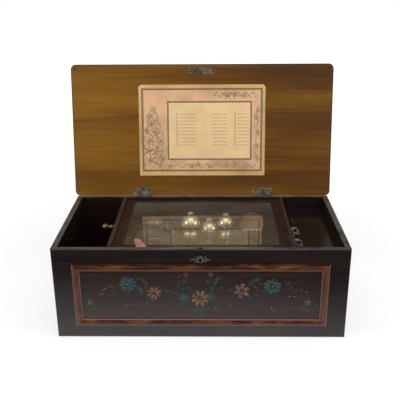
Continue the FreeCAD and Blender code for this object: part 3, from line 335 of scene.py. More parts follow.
def turns(count, start=0.0):
    """Evenly spaced headings round a circle, in radians."""
    return [start + 2 * math.pi * i / count for i in range(count)]


def heading(turn):
    """A flat arrow of length 1, turned from +X."""
    return Vector((math.cos(turn), math.sin(turn)))


def stroke(bm, centre, along, half_long, half_wide, tip=0.0, corners=12):
    """One dab of paint on the front; tip above 0 makes its far end pointed, below 0 fuller."""
    side = Vector((-along.y, along.x))
    rim = []
    for run, reach in map(heading, turns(corners)):
        narrow = 1 - tip * max(run, 0) ** 1.5
        flat = centre + along * half_long * run + side * half_wide * reach * narrow
        rim.append(bm.verts.new((flat.x, panel_y, flat.y)))
    crown = bm.verts.new((centre.x, panel_y - PAINT_RISE, centre.y))
    under = bm.verts.new((centre.x, panel_y + PAINT_RISE, centre.y))
    for first, second in zip(rim, rim[1:] + rim[:1]):
        bm.faces.new((crown, first, second))
        bm.faces.new((under, second, first))


def blossom(bm, centre, radius, petals, width, start=0.0, split=0.0):
    """A ring of petals, each one dab, or two side by side where split is above 0."""
    for middle in turns(petals, start):
        for lean in ((-split, split) if split else (0.0,)):
            along = heading(middle + lean)
            stroke(bm, centre + along * radius * 0.62, along, radius * 0.37,
                   width * chance.uniform(0.9, 1.1), tip=-0.5)


def placed(name, mesh, body):
    """A piece made of a mesh, riding on a body."""
    piece = bpy.data.objects.new(name, mesh)
    bpy.context.scene.collection.objects.link(piece)
    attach(piece, body)
    return piece


def painted(name, build, material, body="case"):
    """A mesh piece made by build(bm), with outward faces, riding on a body."""
    bm = bmesh.new()
    build(bm)
    bmesh.ops.recalc_face_normals(bm, faces=bm.faces)
    mesh = bpy.data.meshes.new(name)
    bm.to_mesh(mesh)
    bm.free()
    mesh.materials.append(material)
    return placed(name, mesh, body)


def speckle(tree, scale, detail=2.0):
    """Even noise; scale is spots per metre."""
    return noise_on(tree, own_place(tree), (scale, scale, scale), detail)


def oil_paint(name, thin, full):
    """Paint that shows its brush marks; thin is where it has worn into the ground colour."""
    made, tree, shader = new_material(name)
    marks = speckle(tree, 240, 4)
    surface(tree, shader, ramp(tree, marks, [(0.34, thin), (0.6, full)]), 0.45)
    bumped(tree, shader, marks, 0.3, 0.2 * MM)
    return made


blue_oil = oil_paint("blue_oil", (0.010, 0.020, 0.021), (0.026, 0.100, 0.108))
peach_oil = oil_paint("peach_oil", (0.07, 0.032, 0.019), (0.27, 0.145, 0.085))
green_oil = oil_paint("green_oil", (0.013, 0.018, 0.009), (0.032, 0.060, 0.026))
cream_oil = oil_paint("cream_oil", (0.12, 0.07, 0.045), (0.36, 0.26, 0.18))
red_oil = oil_paint("red_oil", (0.06, 0.016, 0.010), (0.20, 0.045, 0.022))


def at(x, z):
    """A place on the front, in millimetres from the middle and from the floor."""
    return Vector((x, z)) * MM


def blue_flowers(bm):
    """Each flower is (x, z, radius, petals)."""
    for x, z, radius, petals in ((-138, 117, 17, 11), (136, 113, 17, 11), (-32, 88, 10.5, 8),
                                 (19, 91, 9.5, 8)):
        width = radius * (0.17 if petals > 8 else 0.21) * MM
        blossom(bm, at(x, z), radius * MM, petals, width, chance.uniform(0, 1))
    for i in range(6):
        stroke(bm, at(-118 + 1.5 * i, 112 - 2.4 * i), heading(-0.6), 4 * MM, 1.5 * MM)


def peach_flowers(bm):
    """Three large flowers, two of them with split petals, and five small ones."""
    for x, z, radius, petals, split in ((-89, 98, 14.5, 8, 0.12), (78, 104, 15.5, 6, 0.0),
                                        (-1, 87, 17.5, 8, 0.12)):
        blossom(bm, at(x, z), radius * MM, petals, radius * (0.095 if split else 0.23) * MM, 0.35, split)
    for x, z, radius in ((-27, 138, 5.5), (19, 138, 5), (-212, 78, 6), (204, 78, 6), (-169, 112, 3)):
        blossom(bm, at(x, z), radius * MM, 5, radius * 0.24 * MM, 0.3)


def leaves(bm):
    """Each leaf is (x, z, heading in degrees, length)."""
    sprays = [(-114, 129, 15, 15), (-104, 122, -25, 15), (-103, 112, -65, 12), (-118, 108, -50, 10),
              (-91, 83, 250, 10), (-78, 112, 30, 8), (-60, 103, 10, 13), (-46, 98, -30, 9),
              (-41, 117, 75, 15), (-31, 126, 115, 13), (-24, 112, 60, 10), (-40, 134, 60, 10),
              (-20, 104, 80, 8), (-8, 62, -105, 18), (0, 56, -90, 18), (6, 64, -60, 15),
              (-35, 71, 240, 12), (30, 65, -45, 16), (14, 124, 100, 16), (34, 130, 25, 14),
              (28, 120, 60, 14), (20, 110, 95, 13), (40, 112, 10, 8), (57, 106, 200, 13),
              (95, 120, 35, 15), (107, 128, 12, 20), (104, 112, -35, 14), (114, 118, 30, 10),
              (92, 93, -60, 10), (104, 96, -10, 9), (164, 118, 150, 9), (172, 110, 30, 8),
              (-220, 66, 250, 13), (-212, 62, 270, 14), (-203, 66, 290, 13), (-196, 58, 300, 9),
              (196, 66, 250, 12), (204, 60, 270, 14), (213, 66, 290, 12), (221, 70, 320, 9),
              (-168, 100, 200, 8), (-150, 92, 230, 8), (-186, 96, 160, 7)]
    for x, z, degrees, length in sprays:
        stroke(bm, at(x, z), heading(math.radians(degrees)), length * MM / 2, length * 0.23 * MM, tip=0.85)


def stems(bm):
    """Thin curving stems, each a row of short overlapping dabs from one place to another."""
    courses = (((-120, 108), (-92, 84), 8), ((-76, 98), (-44, 92), 9), ((-26, 132), (-32, 98), -6),
               ((19, 132), (20, 100), 5), ((34, 92), (64, 98), -7), ((92, 108), (122, 118), 6),
               ((150, 104), (184, 96), 7), ((-154, 108), (-196, 96), -8),
               ((-1, 70), (2, 56), 2))
    for start, end, bow in courses:
        first, last = at(*start), at(*end)
        run = last - first
        side = Vector((-run.y, run.x)).normalized() * bow * MM
        count = max(int(run.length / (3.2 * MM)), 2)
        for i in range(count):
            share = (i + 0.5) / count
            bend = side * 4 * share * (1 - share)
            along = (run + side * 4 * (1 - 2 * share)).normalized()
            stroke(bm, first + run * share + bend, along, 2.3 * MM, 0.4 * MM, corners=8)


def dots(bm):
    """Small single touches of the brush, in three loose rows at each side and by the flowers."""
    rows = [((-178, 112), (-192, 94), 5), ((-176, 92), (-160, 96), 4), ((-148, 66), (-126, 76), 8),
            ((182, 108), (200, 100), 4), ((170, 92), (206, 80), 6), ((134, 66), (146, 56), 6),
            ((-62, 76), (-60, 74), 1), ((14, 66), (26, 62), 2), ((52, 74), (58, 72), 2),
            ((-14, 98), (-16, 96), 1), ((106, 92), (110, 90), 1), ((160, 124), (166, 122), 2),
            ((-104, 76), (-100, 74), 1)]
    for start, end, count in rows:
        first, last = at(*start), at(*end)
        for i in range(count):
            share = i / max(count - 1, 1)
            jitter = Vector((chance.uniform(-1.5, 1.5), chance.uniform(-1.5, 1.5))) * MM
            size = chance.uniform(0.6, 1.2) * MM
            stroke(bm, first.lerp(last, share) + jitter, Vector((1, 0)), size, size, corners=8)


def hearts(bm):
    for x, z, size in ((-138, 117, 1.8), (136, 113, 1.9), (-32, 88, 1.4), (19, 91, 1.4)):
        stroke(bm, at(x, z), Vector((1, 0)), size * MM, size * MM, corners=8)


def red_hearts(bm):
    for x, z, size in ((-89, 98, 2.4), (78, 104, 3.0), (-1, 87, 3.2)):
        for turn in turns(5):
            stroke(bm, at(x, z) + heading(turn) * size * 0.5 * MM, Vector((1, 0)),
                   size * 0.42 * MM, size * 0.42 * MM, corners=8)


painted("painted_blue_flowers", blue_flowers, blue_oil)
painted("painted_peach_flowers", peach_flowers, peach_oil)
painted("painted_leaves", leaves, green_oil)
painted("painted_stems", stems, green_oil)
painted("painted_dots", dots, cream_oil)
painted("painted_flower_hearts", hearts, cream_oil)
painted("painted_red_hearts", red_hearts, red_oil)

# ---- Metal fittings of the case -----------------------------------------------------------
# Pierced keyhole plate, lock, hinges, pins and screws, all iron or steel gone grey-brown
# with handling. The keyhole plate still has some shine on its high points.


def old_metal(name, dark, light, roughness, spots=90, metallic=1.0):
    """Tarnished metal: two tones in blotches, duller where it is darker."""
    made, tree, shader = new_material(name)
    blotches = speckle(tree, spots, 6)
    rough = spread(tree, blotches, 0, 1, min(roughness + 0.2, 0.9), max(roughness - 0.08, 0.03))
    surface(tree, shader, ramp(tree, blotches, [(0.3, dark), (0.68, light)]), rough, metallic)
    bumped(tree, shader, blotches, 0.1, 0.2 * MM)
    return made


grey_iron = old_metal("grey_iron", (0.12, 0.094, 0.066), (0.68, 0.55, 0.39), 0.42)
plate_iron = old_metal("plate_iron", (0.055, 0.043, 0.038), (0.46, 0.39, 0.36), 0.38, 260)
for fitting in ("box_lock", "lock_bolt", "case_hinge_leaves", "hinge_pins", "lid_hinge_leaves",
                "strike_plate"):
    finish(fitting, grey_iron)
finish("escutcheon", plate_iron)
finish("lid_screws", old_metal("dark_screws", (0.015, 0.012, 0.01), (0.10, 0.08, 0.07), 0.5, 300))

# ---- Lid ----------------------------------------------------------------------------------
# One wide board, varnished golden brown inside with the grain along its length, ebonised on
# its top and edges, with painted shade darkening the inside towards its right end. It stands
# past upright against the stop of its hinges.
lid_joint = next(joint for joint in frame["joints"] if joint["name"] == "lid_hinge")
hinge_point = Vector(lid_joint["pos_m"])
LID_OPEN = math.radians(lid_joint["range_deg"][1])
stand_open = (Matrix.Translation(hinge_point) @ Matrix.Rotation(-LID_OPEN, 4, "X")
              @ Matrix.Translation(-hinge_point))


def shut_box(node):
    """Lowest and highest corners of a lid piece as it lies with the lid shut."""
    points = [stand_open.inverted() @ vertex.co for vertex in nodes[node].data.vertices]
    return [Vector([pick(point[i] for point in points) for i in range(3)]) for pick in (min, max)]


lid_low, lid_high = shut_box("lid_panel")
LID_GOLD = [(0.15, (0.072, 0.026, 0.001)), (0.30, (0.112, 0.041, 0.001)), (0.45, (0.185, 0.072, 0.001)),
            (0.62, (0.265, 0.116, 0.002)), (0.85, (0.35, 0.165, 0.004))]

lid_wood, tree, shader = new_material("lid_veneer")
shutting = wired(tree, "ShaderNodeMapping", Vector=own_place(tree), Rotation=(LID_OPEN, 0, 0))
laid_flat = shutting.outputs["Vector"]
figure = noise_on(tree, laid_flat, (1.6, 22, 22), 3, wander=0.6)
pores = noise_on(tree, laid_flat, (9, 420, 420), 5)
tone = calc(tree, "MULTIPLY_ADD", figure, 0.62, calc(tree, "MULTIPLY", pores, 0.38))
x, y, z = axes(tree, laid_flat)
# Painted shade: the gold darkens towards the lid's right end, for the light falling off across it.
painted_shade_rightward = stepped(tree, x, lid_low.x, lid_high.x)
gold = ramp(tree, calc(tree, "MULTIPLY_ADD", painted_shade_rightward, -0.22, calc(tree, "ADD", tone, 0.06)), LID_GOLD)
shut_frame = Matrix.Rotation(LID_OPEN, 4, "X")
inner_face = (shut_frame @ (stand_open @ Vector((0, 0, lid_low.z)))).z
front_edge = (shut_frame @ (stand_open @ Vector((0, lid_low.y, lid_low.z)))).y
depth = calc(tree, "SUBTRACT", z, inner_face)
rim_gap = calc(tree, "MINIMUM", calc(tree, "SUBTRACT", lid_high.x, calc(tree, "ABSOLUTE", x)),
               calc(tree, "SUBTRACT", y, front_edge))
outside = calc(tree, "MAXIMUM", stepped(tree, depth, 0.3 * MM, 1.2 * MM),
               stepped(tree, rim_gap, 0.6 * MM, 2.6 * MM, 1, 0))
ebony = ramp(tree, pores, [(0.3, (0.020, 0.011, 0.008)), (0.72, (0.055, 0.028, 0.018))])
surface(tree, shader, mixed(tree, outside, gold, ebony), 0.36)
bumped(tree, shader, pores, 0.08, 0.3 * MM)
finish("lid_panel", lid_wood)

# ---- Tune card ----------------------------------------------------------------------------
# A buff printed card pasted inside the lid. A peach ground stands in an olive frame, with a
# cream panel of ruled lines in a frame of its own, and roses and leaves run round between
# the two. It carries no words.
card_low, card_high = shut_box("tune_card")
CARD_W, CARD_H = card_high.x - card_low.x, card_high.y - card_low.y
INK = 0.05 * MM


def on_card(u, v, lift=0.0):
    """A place on the card: u along and v up from its lower left corner, in card widths and heights."""
    shut = Vector((card_low.x + u * CARD_W, card_high.y - v * CARD_H, card_low.z - lift))
    return stand_open @ shut


def card_patch(bm, corners, lift, thick=INK):
    """A flat printed patch through (u, v) corners, with a small thickness."""
    face = [bm.verts.new(on_card(u, v, lift + thick)) for u, v in corners]
    back = [bm.verts.new(on_card(u, v, lift)) for u, v in corners]
    bm.faces.new(face)
    bm.faces.new(back[::-1])
    for i in range(len(corners)):
        j = (i + 1) % len(corners)
        bm.faces.new((face[j], face[i], back[i], back[j]))


def card_rect(bm, u0, v0, u1, v1, lift):
    card_patch(bm, [(u0, v0), (u1, v0), (u1, v1), (u0, v1)], lift)


def card_frame(bm, u0, v0, u1, v1, wide, lift):
    """A rectangular line of the given width in metres."""
    a, b = wide / CARD_W, wide / CARD_H
    card_rect(bm, u0, v0, u1, v0 + b, lift)
    card_rect(bm, u0, v1 - b, u1, v1, lift)
    card_rect(bm, u0, v0 + b, u0 + a, v1 - b, lift)
    card_rect(bm, u1 - a, v0 + b, u1, v1 - b, lift)


def print_ink(name, colour, mottle=0.25, scale=60):
    """Flat printing ink with slight foxing."""
    made, tree, shader = new_material(name)
    dark = tuple(channel * (1 - mottle) for channel in colour)
    surface(tree, shader, ramp(tree, speckle(tree, scale, 5), [(0.3, dark), (0.6, colour)]), 0.75)
    return made


card_paper, tree, shader = new_material("card_paper")
surface(tree, shader, ramp(tree, speckle(tree, 11, 6), [(0.3, (0.58, 0.30, 0.09)), (0.5, (0.72, 0.42, 0.17)),
                                                        (0.72, (0.80, 0.51, 0.24))]), 0.8)
finish("tune_card", card_paper)

# Edges of the cream panel and of the outer frame: left, foot, right and head, in card widths and heights.
PANEL = (0.225, 0.175, 0.895, 0.822)
OUTER = (0.022, 0.046, 0.978, 0.962)
cream_ink = print_ink("cream_ink", (0.92, 0.64, 0.33), 0.12, 30)
olive_ink = print_ink("olive_ink", (0.22, 0.19, 0.10))
ground_ink = print_ink("ground_ink", (0.84, 0.49, 0.27), 0.3, 22)
brown_ink = print_ink("brown_ink", (0.30, 0.20, 0.13))
rose_ink = print_ink("rose_ink", (0.74, 0.30, 0.19), 0.4, 300)
coral_ink = print_ink("coral_ink", (0.66, 0.30, 0.14), 0.4, 300)
leaf_ink = print_ink("leaf_ink", (0.34, 0.36, 0.19), 0.4, 300)


def cream_panel(bm):
    card_rect(bm, *PANEL, 0)


def card_borders(bm):
    card_frame(bm, *OUTER, 4.2 * MM, 0)
    card_frame(bm, *PANEL, 3.4 * MM, 0.5 * INK)


def peach_ground(bm):
    """Four strips between the outer frame and the panel."""
    u0, v0, u1, v1 = PANEL
    left, foot, right, head = OUTER
    strips = ((left, foot, u0, head), (u1, foot, right, head), (u0, foot, u1, v0), (u0, v1, u1, head))
    for a, b, c, d in strips:
        card_patch(bm, [(a, b), (c, b), (c, d), (a, d)], 0, 0.5 * INK)


painted("card_cream_panel", cream_panel, cream_ink, "lid")
painted("card_ground", peach_ground, ground_ink, "lid")
painted("card_borders", card_borders, olive_ink, "lid")


def tree_with(name, inputs):
    """An empty Geometry Nodes tree with named inputs, and the outputs that carry them."""
    tree = bpy.data.node_groups.new(name, "GeometryNodeTree")
    tree.interface.new_socket("Geometry", in_out="OUTPUT", socket_type="NodeSocketGeometry")
    for label, kind in inputs:
        tree.interface.new_socket(label, in_out="INPUT", socket_type="NodeSocket" + kind)
    return tree, tree.nodes.new("NodeGroupInput").outputs


def made_real(tree, copies, material):
    """Ends a tree: its instances are made real, given a material and handed out."""
    real = wired(tree, "GeometryNodeRealizeInstances", Geometry=copies.outputs["Instances"])
    coated = wired(tree, "GeometryNodeSetMaterial", Geometry=real.outputs["Geometry"], Material=material)
    wired(tree, "NodeGroupOutput", Geometry=coated.outputs["Geometry"])


def ruled_lines():
    """Even ruled lines, one under another."""
    tree, given = tree_with("ruled_lines", (("Rows", "Int"), ("Pitch", "Float"), ("Length", "Float"),
                                            ("Weight", "Float"), ("Ink", "Material")))
    down = wired(tree, "ShaderNodeCombineXYZ", Y=given["Pitch"])
    row = wired(tree, "GeometryNodeMeshLine", Count=given["Rows"], Offset=down.outputs["Vector"])
    size = wired(tree, "ShaderNodeCombineXYZ", X=given["Length"], Y=given["Weight"], Z=INK)
    dash = wired(tree, "GeometryNodeMeshCube", Size=size.outputs["Vector"])
    copies = wired(tree, "GeometryNodeInstanceOnPoints", Points=row.outputs["Mesh"],
                   Instance=dash.outputs["Mesh"])
    made_real(tree, copies, given["Ink"])
    return tree


def grown(name, tree, values, place, body):
    """Runs a Geometry Nodes tree on an empty mesh and keeps the result as a plain piece."""
    seed = bpy.data.objects.new(name + "_seed", bpy.data.meshes.new(name + "_seed"))
    bpy.context.scene.collection.objects.link(seed)
    modifier = seed.modifiers.new("grow", "NODES")
    modifier.node_group = tree
    for item in tree.interface.items_tree:
        if item.item_type == "SOCKET" and item.in_out == "INPUT" and item.name in values:
            modifier[item.identifier] = values[item.name]
    bpy.context.view_layer.update()
    done = seed.evaluated_get(bpy.context.evaluated_depsgraph_get())
    mesh = bpy.data.meshes.new_from_object(done)
    mesh.name = name
    bpy.data.objects.remove(seed)
    mesh.transform(place)
    return placed(name, mesh, body)


COLUMNS = ((0.315, 0.455), (0.58, 0.70), (0.778, 0.872))
LINE_TOP, LINE_COUNT, LINE_PITCH, LINE_WEIGHT = 0.68, 10, 0.0375, 0.7 * MM
lines_tree = ruled_lines()
for number, (u0, u1) in enumerate(COLUMNS, 1):
    middle = Vector((card_low.x + (u0 + u1) / 2 * CARD_W, card_high.y - LINE_TOP * CARD_H,
                     card_low.z - INK * 1.4))
    grown("card_ruled_lines_%d" % number, lines_tree,
          {"Rows": LINE_COUNT, "Pitch": LINE_PITCH * CARD_H, "Length": (u1 - u0) * CARD_W,
           "Weight": LINE_WEIGHT, "Ink": brown_ink}, stand_open @ Matrix.Translation(middle), "lid")


def card_rules(bm):
    """Upright rules at the left of the first and the last column."""
    for u in (0.300, 0.761):
        card_rect(bm, u, 0.33, u + 0.004, 0.70, INK)


painted("card_column_rules", card_rules, brown_ink, "lid")


def card_oval(bm, u, v, long, wide, turned, lift=0, corners=10):
    """An oval printed dab; long and wide in metres, turned in radians."""
    points = []
    for turn in turns(corners):
        run, reach = long * math.cos(turn), wide * math.sin(turn)
        points.append((u + (run * math.cos(turned) - reach * math.sin(turned)) / CARD_W,
                       v + (run * math.sin(turned) + reach * math.cos(turned)) / CARD_H))
    card_patch(bm, points, lift)


# Each rose is its place along and up the card, and its radius in millimetres.
ROSES = [(0.075, 0.66, 4.5), (0.105, 0.58, 6), (0.065, 0.50, 5.5), (0.135, 0.47, 6.5), (0.085, 0.39, 6),
         (0.165, 0.38, 5), (0.070, 0.28, 6), (0.135, 0.27, 6.5), (0.185, 0.20, 5.5), (0.095, 0.17, 6.5),
         (0.165, 0.11, 6), (0.245, 0.10, 5), (0.42, 0.11, 4.5), (0.47, 0.12, 5), (0.56, 0.10, 4),
         (0.70, 0.11, 5), (0.76, 0.12, 4.5), (0.85, 0.10, 5), (0.935, 0.20, 4), (0.93, 0.33, 4.5),
         (0.94, 0.48, 4), (0.93, 0.64, 5), (0.94, 0.72, 4), (0.70, 0.885, 6), (0.76, 0.895, 5),
         (0.83, 0.88, 4)]


def ring_of_five(bm, u, v, radius, start, reach, long, wide):
    """Five ovals round a rose; reach, long and wide are shares of its radius."""
    for turn in turns(5, start):
        aside, up = heading(turn) * radius * reach * MM
        card_oval(bm, u + aside / CARD_W, v + up / CARD_H, radius * long * MM, radius * wide * MM, turn)


def leaf_trail(bm, count, start, step, sway, beat, size, headings):
    """A wavering row of leaves: places and steps along and up the card, size in millimetres."""
    for i in range(count):
        u, v = (start[k] + i * step[k] + sway[k] * math.sin(i * beat) for k in (0, 1))
        card_oval(bm, u, v, size[0] * MM, size[1] * MM, headings[i % 2])


def rose_petals(bm):
    for u, v, radius in ROSES:
        ring_of_five(bm, u, v, radius, u * 9, 0.5, 0.55, 0.42)


def rose_hearts(bm):
    for u, v, radius in ROSES:
        card_oval(bm, u, v, radius * 0.42 * MM, radius * 0.42 * MM, 0, INK)


def rose_leaves(bm):
    """Five leaves to a rose, a bush of them at the left, and trails at the right, foot and head."""
    for u, v, radius in ROSES:
        ring_of_five(bm, u, v, radius, math.pi / 5 + v * 7, 1.35, 0.6, 0.2)
    for i in range(70):
        v = 0.10 + i * 0.0095
        reach = 0.075 * min(1.0, (0.80 - v) * 3)
        card_oval(bm, 0.115 + reach * math.sin(i * 2.3), v, 4.2 * MM, 1.3 * MM, 0.4 + (i % 3) * 0.9)
    leaf_trail(bm, 26, (0.935, 0.16), (0, 0.024), (0.012, 0), 1.1, (3.4, 1.0), (0.5, 2.5))
    leaf_trail(bm, 40, (0.28, 0.11), (0.0165, 0), (0, 0.020), 1.3, (3.6, 1.0), (-0.7, 0.7))
    leaf_trail(bm, 22, (0.60, 0.89), (0.0155, 0), (0, 0.022), 1.7, (4.4, 1.3), (-0.7, 0.7))


painted("card_rose_petals", rose_petals, rose_ink, "lid")
painted("card_rose_hearts", rose_hearts, coral_ink, "lid")
painted("card_rose_leaves", rose_leaves, leaf_ink, "lid")

# ---- Partitions and control deck ----------------------------------------------------------
# Thin boards across the case, stained like it, and at the right a black polished deck with
# slots for the control levers and a low strip along the outer wall.
finish("left_partition", ebonised("ebonised_left_partition", "Y", 11.0))
finish("right_partition", ebonised("ebonised_right_partition", "Y", 13.0))
deck_lacquer, tree, shader = new_material("deck_lacquer")
smears = grain(tree, "Y", 6, 60, 5.0, 3.0)
surface(tree, shader, ramp(tree, smears, [(0.3, (0.006, 0.0045, 0.004)), (0.75, (0.016, 0.011, 0.009))]),
        spread(tree, smears, 0, 1, 0.10, 0.26))
bumped(tree, shader, smears, 0.06, 0.3 * MM)
finish("control_deck", deck_lacquer)

# ---- Inner glass lid ----------------------------------------------------------------------
# A stained frame with a rounded back edge that turns on two pins, and a thin old pane in its
# rebate. The pane is dusty, and mirrors the open lid.
frame_low, frame_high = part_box("glass_frame")
frame_stain, tree, shader = new_material("frame_stain")
streaks = grain(tree, "X", 8, 300, 17.0)
patches = stepped(tree, grain(tree, "X", 16, 40, 19.0, 3.0), 0.4, 0.66)
stained = ramp(tree, streaks, [(0.3, (0.006, 0.0035, 0.003)), (0.7, (0.018, 0.009, 0.0065))])
stain = mixed(tree, patches, stained, (0.026, 0.014, 0.010))
x, y, z = axes(tree)
near_front = stepped(tree, y, frame_low.y + 1.0 * MM, frame_low.y + 4.5 * MM, 1, 0)
near_side = stepped(tree, calc(tree, "ABSOLUTE", x), frame_high.x - 2.2 * MM, frame_high.x - 0.8 * MM)
rubbed = calc(tree, "MULTIPLY", calc(tree, "MAXIMUM", near_front, calc(tree, "MULTIPLY", near_side, 0.5)),
              stepped(tree, grain(tree, "X", 14, 90, 23.0), 0.3, 0.62))
surface(tree, shader, mixed(tree, rubbed, stain, (0.12, 0.085, 0.06)), 0.34)
bumped(tree, shader, streaks, 0.1, 0.3 * MM)
finish("glass_frame", frame_stain)


def shaders_mixed(tree, factor, first, second):
    """Mixes two shaders."""
    made = tree.nodes.new("ShaderNodeMixShader")
    for socket, output in zip(made.inputs, (factor, first, second)):
        tree.links.new(output, socket)
    return made.outputs["Shader"]


pane_glass, tree, shader = new_material("old_pane")
surface(tree, shader, (0.93, 0.975, 0.94), 0.015)
shader.inputs["Transmission Weight"].default_value = 1.0
shader.inputs["IOR"].default_value = 1.5
clear = wired(tree, "ShaderNodeBsdfTransparent", Color=(0.93, 0.95, 0.93)).outputs["BSDF"]
dust = wired(tree, "ShaderNodeBsdfDiffuse", Color=(0.60, 0.61, 0.55)).outputs["BSDF"]
path = tree.nodes.new("ShaderNodeLightPath").outputs
film = spread(tree, grain(tree, "X", 9, 14, 29.0, 4.0), 0.3, 0.75, 0.01, 0.05)
dusty = shaders_mixed(tree, film, shader.outputs["BSDF"], dust)
lets_through = calc(tree, "MAXIMUM", path["Is Shadow Ray"], path["Is Diffuse Ray"])
pane = shaders_mixed(tree, lets_through, dusty, clear)
tree.links.new(pane, tree.nodes["Material Output"].inputs["Surface"])
finish("glass_pane", pane_glass)

# ---- Lift tab -----------------------------------------------------------------------------
# A short length of salmon silk ribbon, folded back on itself aslant and tucked under the front
# rail, to lift the glass lid by. Its loop lies flat on the rail and the edge of the pane.
tab_low, tab_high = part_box("lift_tab")
RIBBON_WIDE, RIBBON_THICK = 10.5 * MM, 0.25 * MM
ribbon_silk, tree, shader = new_material("salmon_silk")
weave = wired(tree, "ShaderNodeTexWave", Vector=own_place(tree), Scale=420, Distortion=1.2).outputs["Fac"]
SALMON = [(0.32, (0.19, 0.062, 0.032)), (0.6, (0.37, 0.155, 0.092)), (0.8, (0.50, 0.26, 0.18))]
surface(tree, shader, ramp(tree, speckle(tree, 160), SALMON), 0.5)
shader.inputs["Sheen Weight"].default_value = 0.3
bumped(tree, shader, weave, 0.25, 0.2 * MM)
RIBBON_STEPS, RIBBON_STRANDS = 40, 6
MARGINS = Vector((0.2, 0.1, 0.15)) * MM


def ribbon_line(share):
    """Middle line of the ribbon, from the rail's edge, over the fold and back."""
    wide = tab_high.x - tab_low.x
    start = Vector((tab_low.x + 0.50 * wide, tab_low.y, tab_low.z + 0.4 * MM))
    fold = Vector((tab_low.x + 4.8 * MM, tab_high.y - 2.7 * MM, tab_low.z + 1.4 * MM))
    end = Vector((tab_low.x + 0.80 * wide, tab_low.y, tab_low.z + 2.3 * MM))
    if share < 0.5:
        return start.lerp(fold, share * 2)
    return fold.lerp(end, share * 2 - 1)


def ribbon(bm):
    """Rows of points across the ribbon, wavy along it and curled across, kept inside the tab's box."""
    rows = []
    for i in range(RIBBON_STEPS + 1):
        share = i / RIBBON_STEPS
        turned_over = min(max((share - 0.45) * 10, 0.0), 1.0)
        across = Vector((0.953, 0.303, 0.0)).lerp(Vector((0.857, 0.515, 0.0)), turned_over).normalized()
        lift = 0.3 * MM * math.sin(share * math.pi * 7.0)
        row = []
        for j in range(RIBBON_STRANDS + 1):
            side = (j / RIBBON_STRANDS - 0.5) * RIBBON_WIDE
            curl = 0.35 * MM * math.cos(j * math.pi / 3 + share * 9)
            point = ribbon_line(share) + across * side + Vector((0, 0, lift + curl))
            for k, margin in enumerate(MARGINS):
                point[k] = min(max(point[k], tab_low[k] + margin), tab_high[k] - margin)
            row.append(bm.verts.new(point))
        rows.append(row)
    for first, second in zip(rows, rows[1:]):
        for j in range(RIBBON_STRANDS):
            bm.faces.new((first[j], first[j + 1], second[j + 1], second[j]))


lift_ribbon = painted("lift_ribbon", ribbon, ribbon_silk, "glass_lid")
thicken = lift_ribbon.modifiers.new("thickness", "SOLIDIFY")
thicken.thickness = RIBBON_THICK
thicken.offset = 0
for polygon in lift_ribbon.data.polygons:
    polygon.use_smooth = True
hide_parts("lift_tab")

# ---- Bedplate, bearings and comb ----------------------------------------------------------
# A cast iron bedplate on six feet, bronzed with paint. The bearing plates are sawn brass, and
# the comb is a steel plate with sawn teeth, screwed down on an iron block.
bronze_paint, tree, shader = new_material("bronze_paint")
BRONZE = [(0.3, (0.058, 0.053, 0.038)), (0.7, (0.156, 0.138, 0.092))]
surface(tree, shader, ramp(tree, grain(tree, "X", 16, 30, 31.0, 4.0), BRONZE), 0.5, 0.35)
bumped(tree, shader, speckle(tree, 900), 0.3, 0.4 * MM)
finish("bedplate", bronze_paint)
finish("comb_base", bronze_paint)
old_brass = old_metal("old_brass", (0.16, 0.105, 0.040), (0.50, 0.36, 0.15), 0.36, 120)
blued_steel = old_metal("blued_steel", (0.020, 0.024, 0.036), (0.070, 0.075, 0.100), 0.30, 200)
finish("bearing_brackets", old_brass)
finish("movement_screws", blued_steel)


def drawn_steel(name, run, dull, bright, roughness):
    """Steel ground along one axis: fine streaks in its colour and its bump."""
    made, tree, shader = new_material(name)
    streaks = grain(tree, run, 40, 1800, 3.0, 3.0)
    stains = stepped(tree, grain(tree, run, 50, 70, 8.0, 3.0), 0.5, 0.75)
    steel = mixed(tree, stains, ramp(tree, streaks, [(0.3, dull), (0.7, bright)]), dull)
    surface(tree, shader, steel, roughness, 1.0)
    bumped(tree, shader, streaks, 0.12, 0.1 * MM)
    return made


ground_steel = drawn_steel("ground_steel", "Y", (0.16, 0.155, 0.15), (0.40, 0.39, 0.38), 0.28)
finish("comb", ground_steel)

# ---- Spring barrel and train --------------------------------------------------------------
# The brass barrel is turned on a lathe and closed over a blued spring. Its arbor, ratchet and
# click are steel, and the wheels of the train are cut from brass.


def off_axis(tree, middle, along):
    """How far each point is from the line through middle along a direction."""
    centred = calc(tree, "SUBTRACT", own_place(tree), middle, kind=VECTORS)
    return calc(tree, "LENGTH", calc(tree, "CROSS_PRODUCT", centred, along, kind=VECTORS), kind=VECTORS)


def turned_brass(name, node, spacing):
    """Brass with faint lathe rings about the node's own axis along X."""
    made, tree, shader = new_material(name)
    low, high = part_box(node)
    x, y, z = axes(tree)
    cut = calc(tree, "ADD", off_axis(tree, (low + high) / 2, (1, 0, 0)), x)
    rings = calc(tree, "SINE", calc(tree, "MULTIPLY", cut, 2 * math.pi / spacing))
    tone = calc(tree, "MULTIPLY_ADD", rings, 0.08, grain(tree, "X", 45, 60, 6.0, 4.0))
    brass = ramp(tree, tone, [(0.28, (0.20, 0.125, 0.045)), (0.7, (0.58, 0.41, 0.17))])
    surface(tree, shader, brass, 0.30, 1.0)
    bumped(tree, shader, rings, 0.15, 0.1 * MM)
    return made


for wheel in ("spring_barrel", "great_wheel"):
    finish(wheel, turned_brass("turned_" + wheel, wheel, 0.9 * MM))
for part in ("barrel_arbor", "ratchet_click", "cylinder_arbor", "governor_arbor"):
    finish(part, ground_steel)
finish("endless_screw", old_brass)
finish("mainspring", blued_steel)

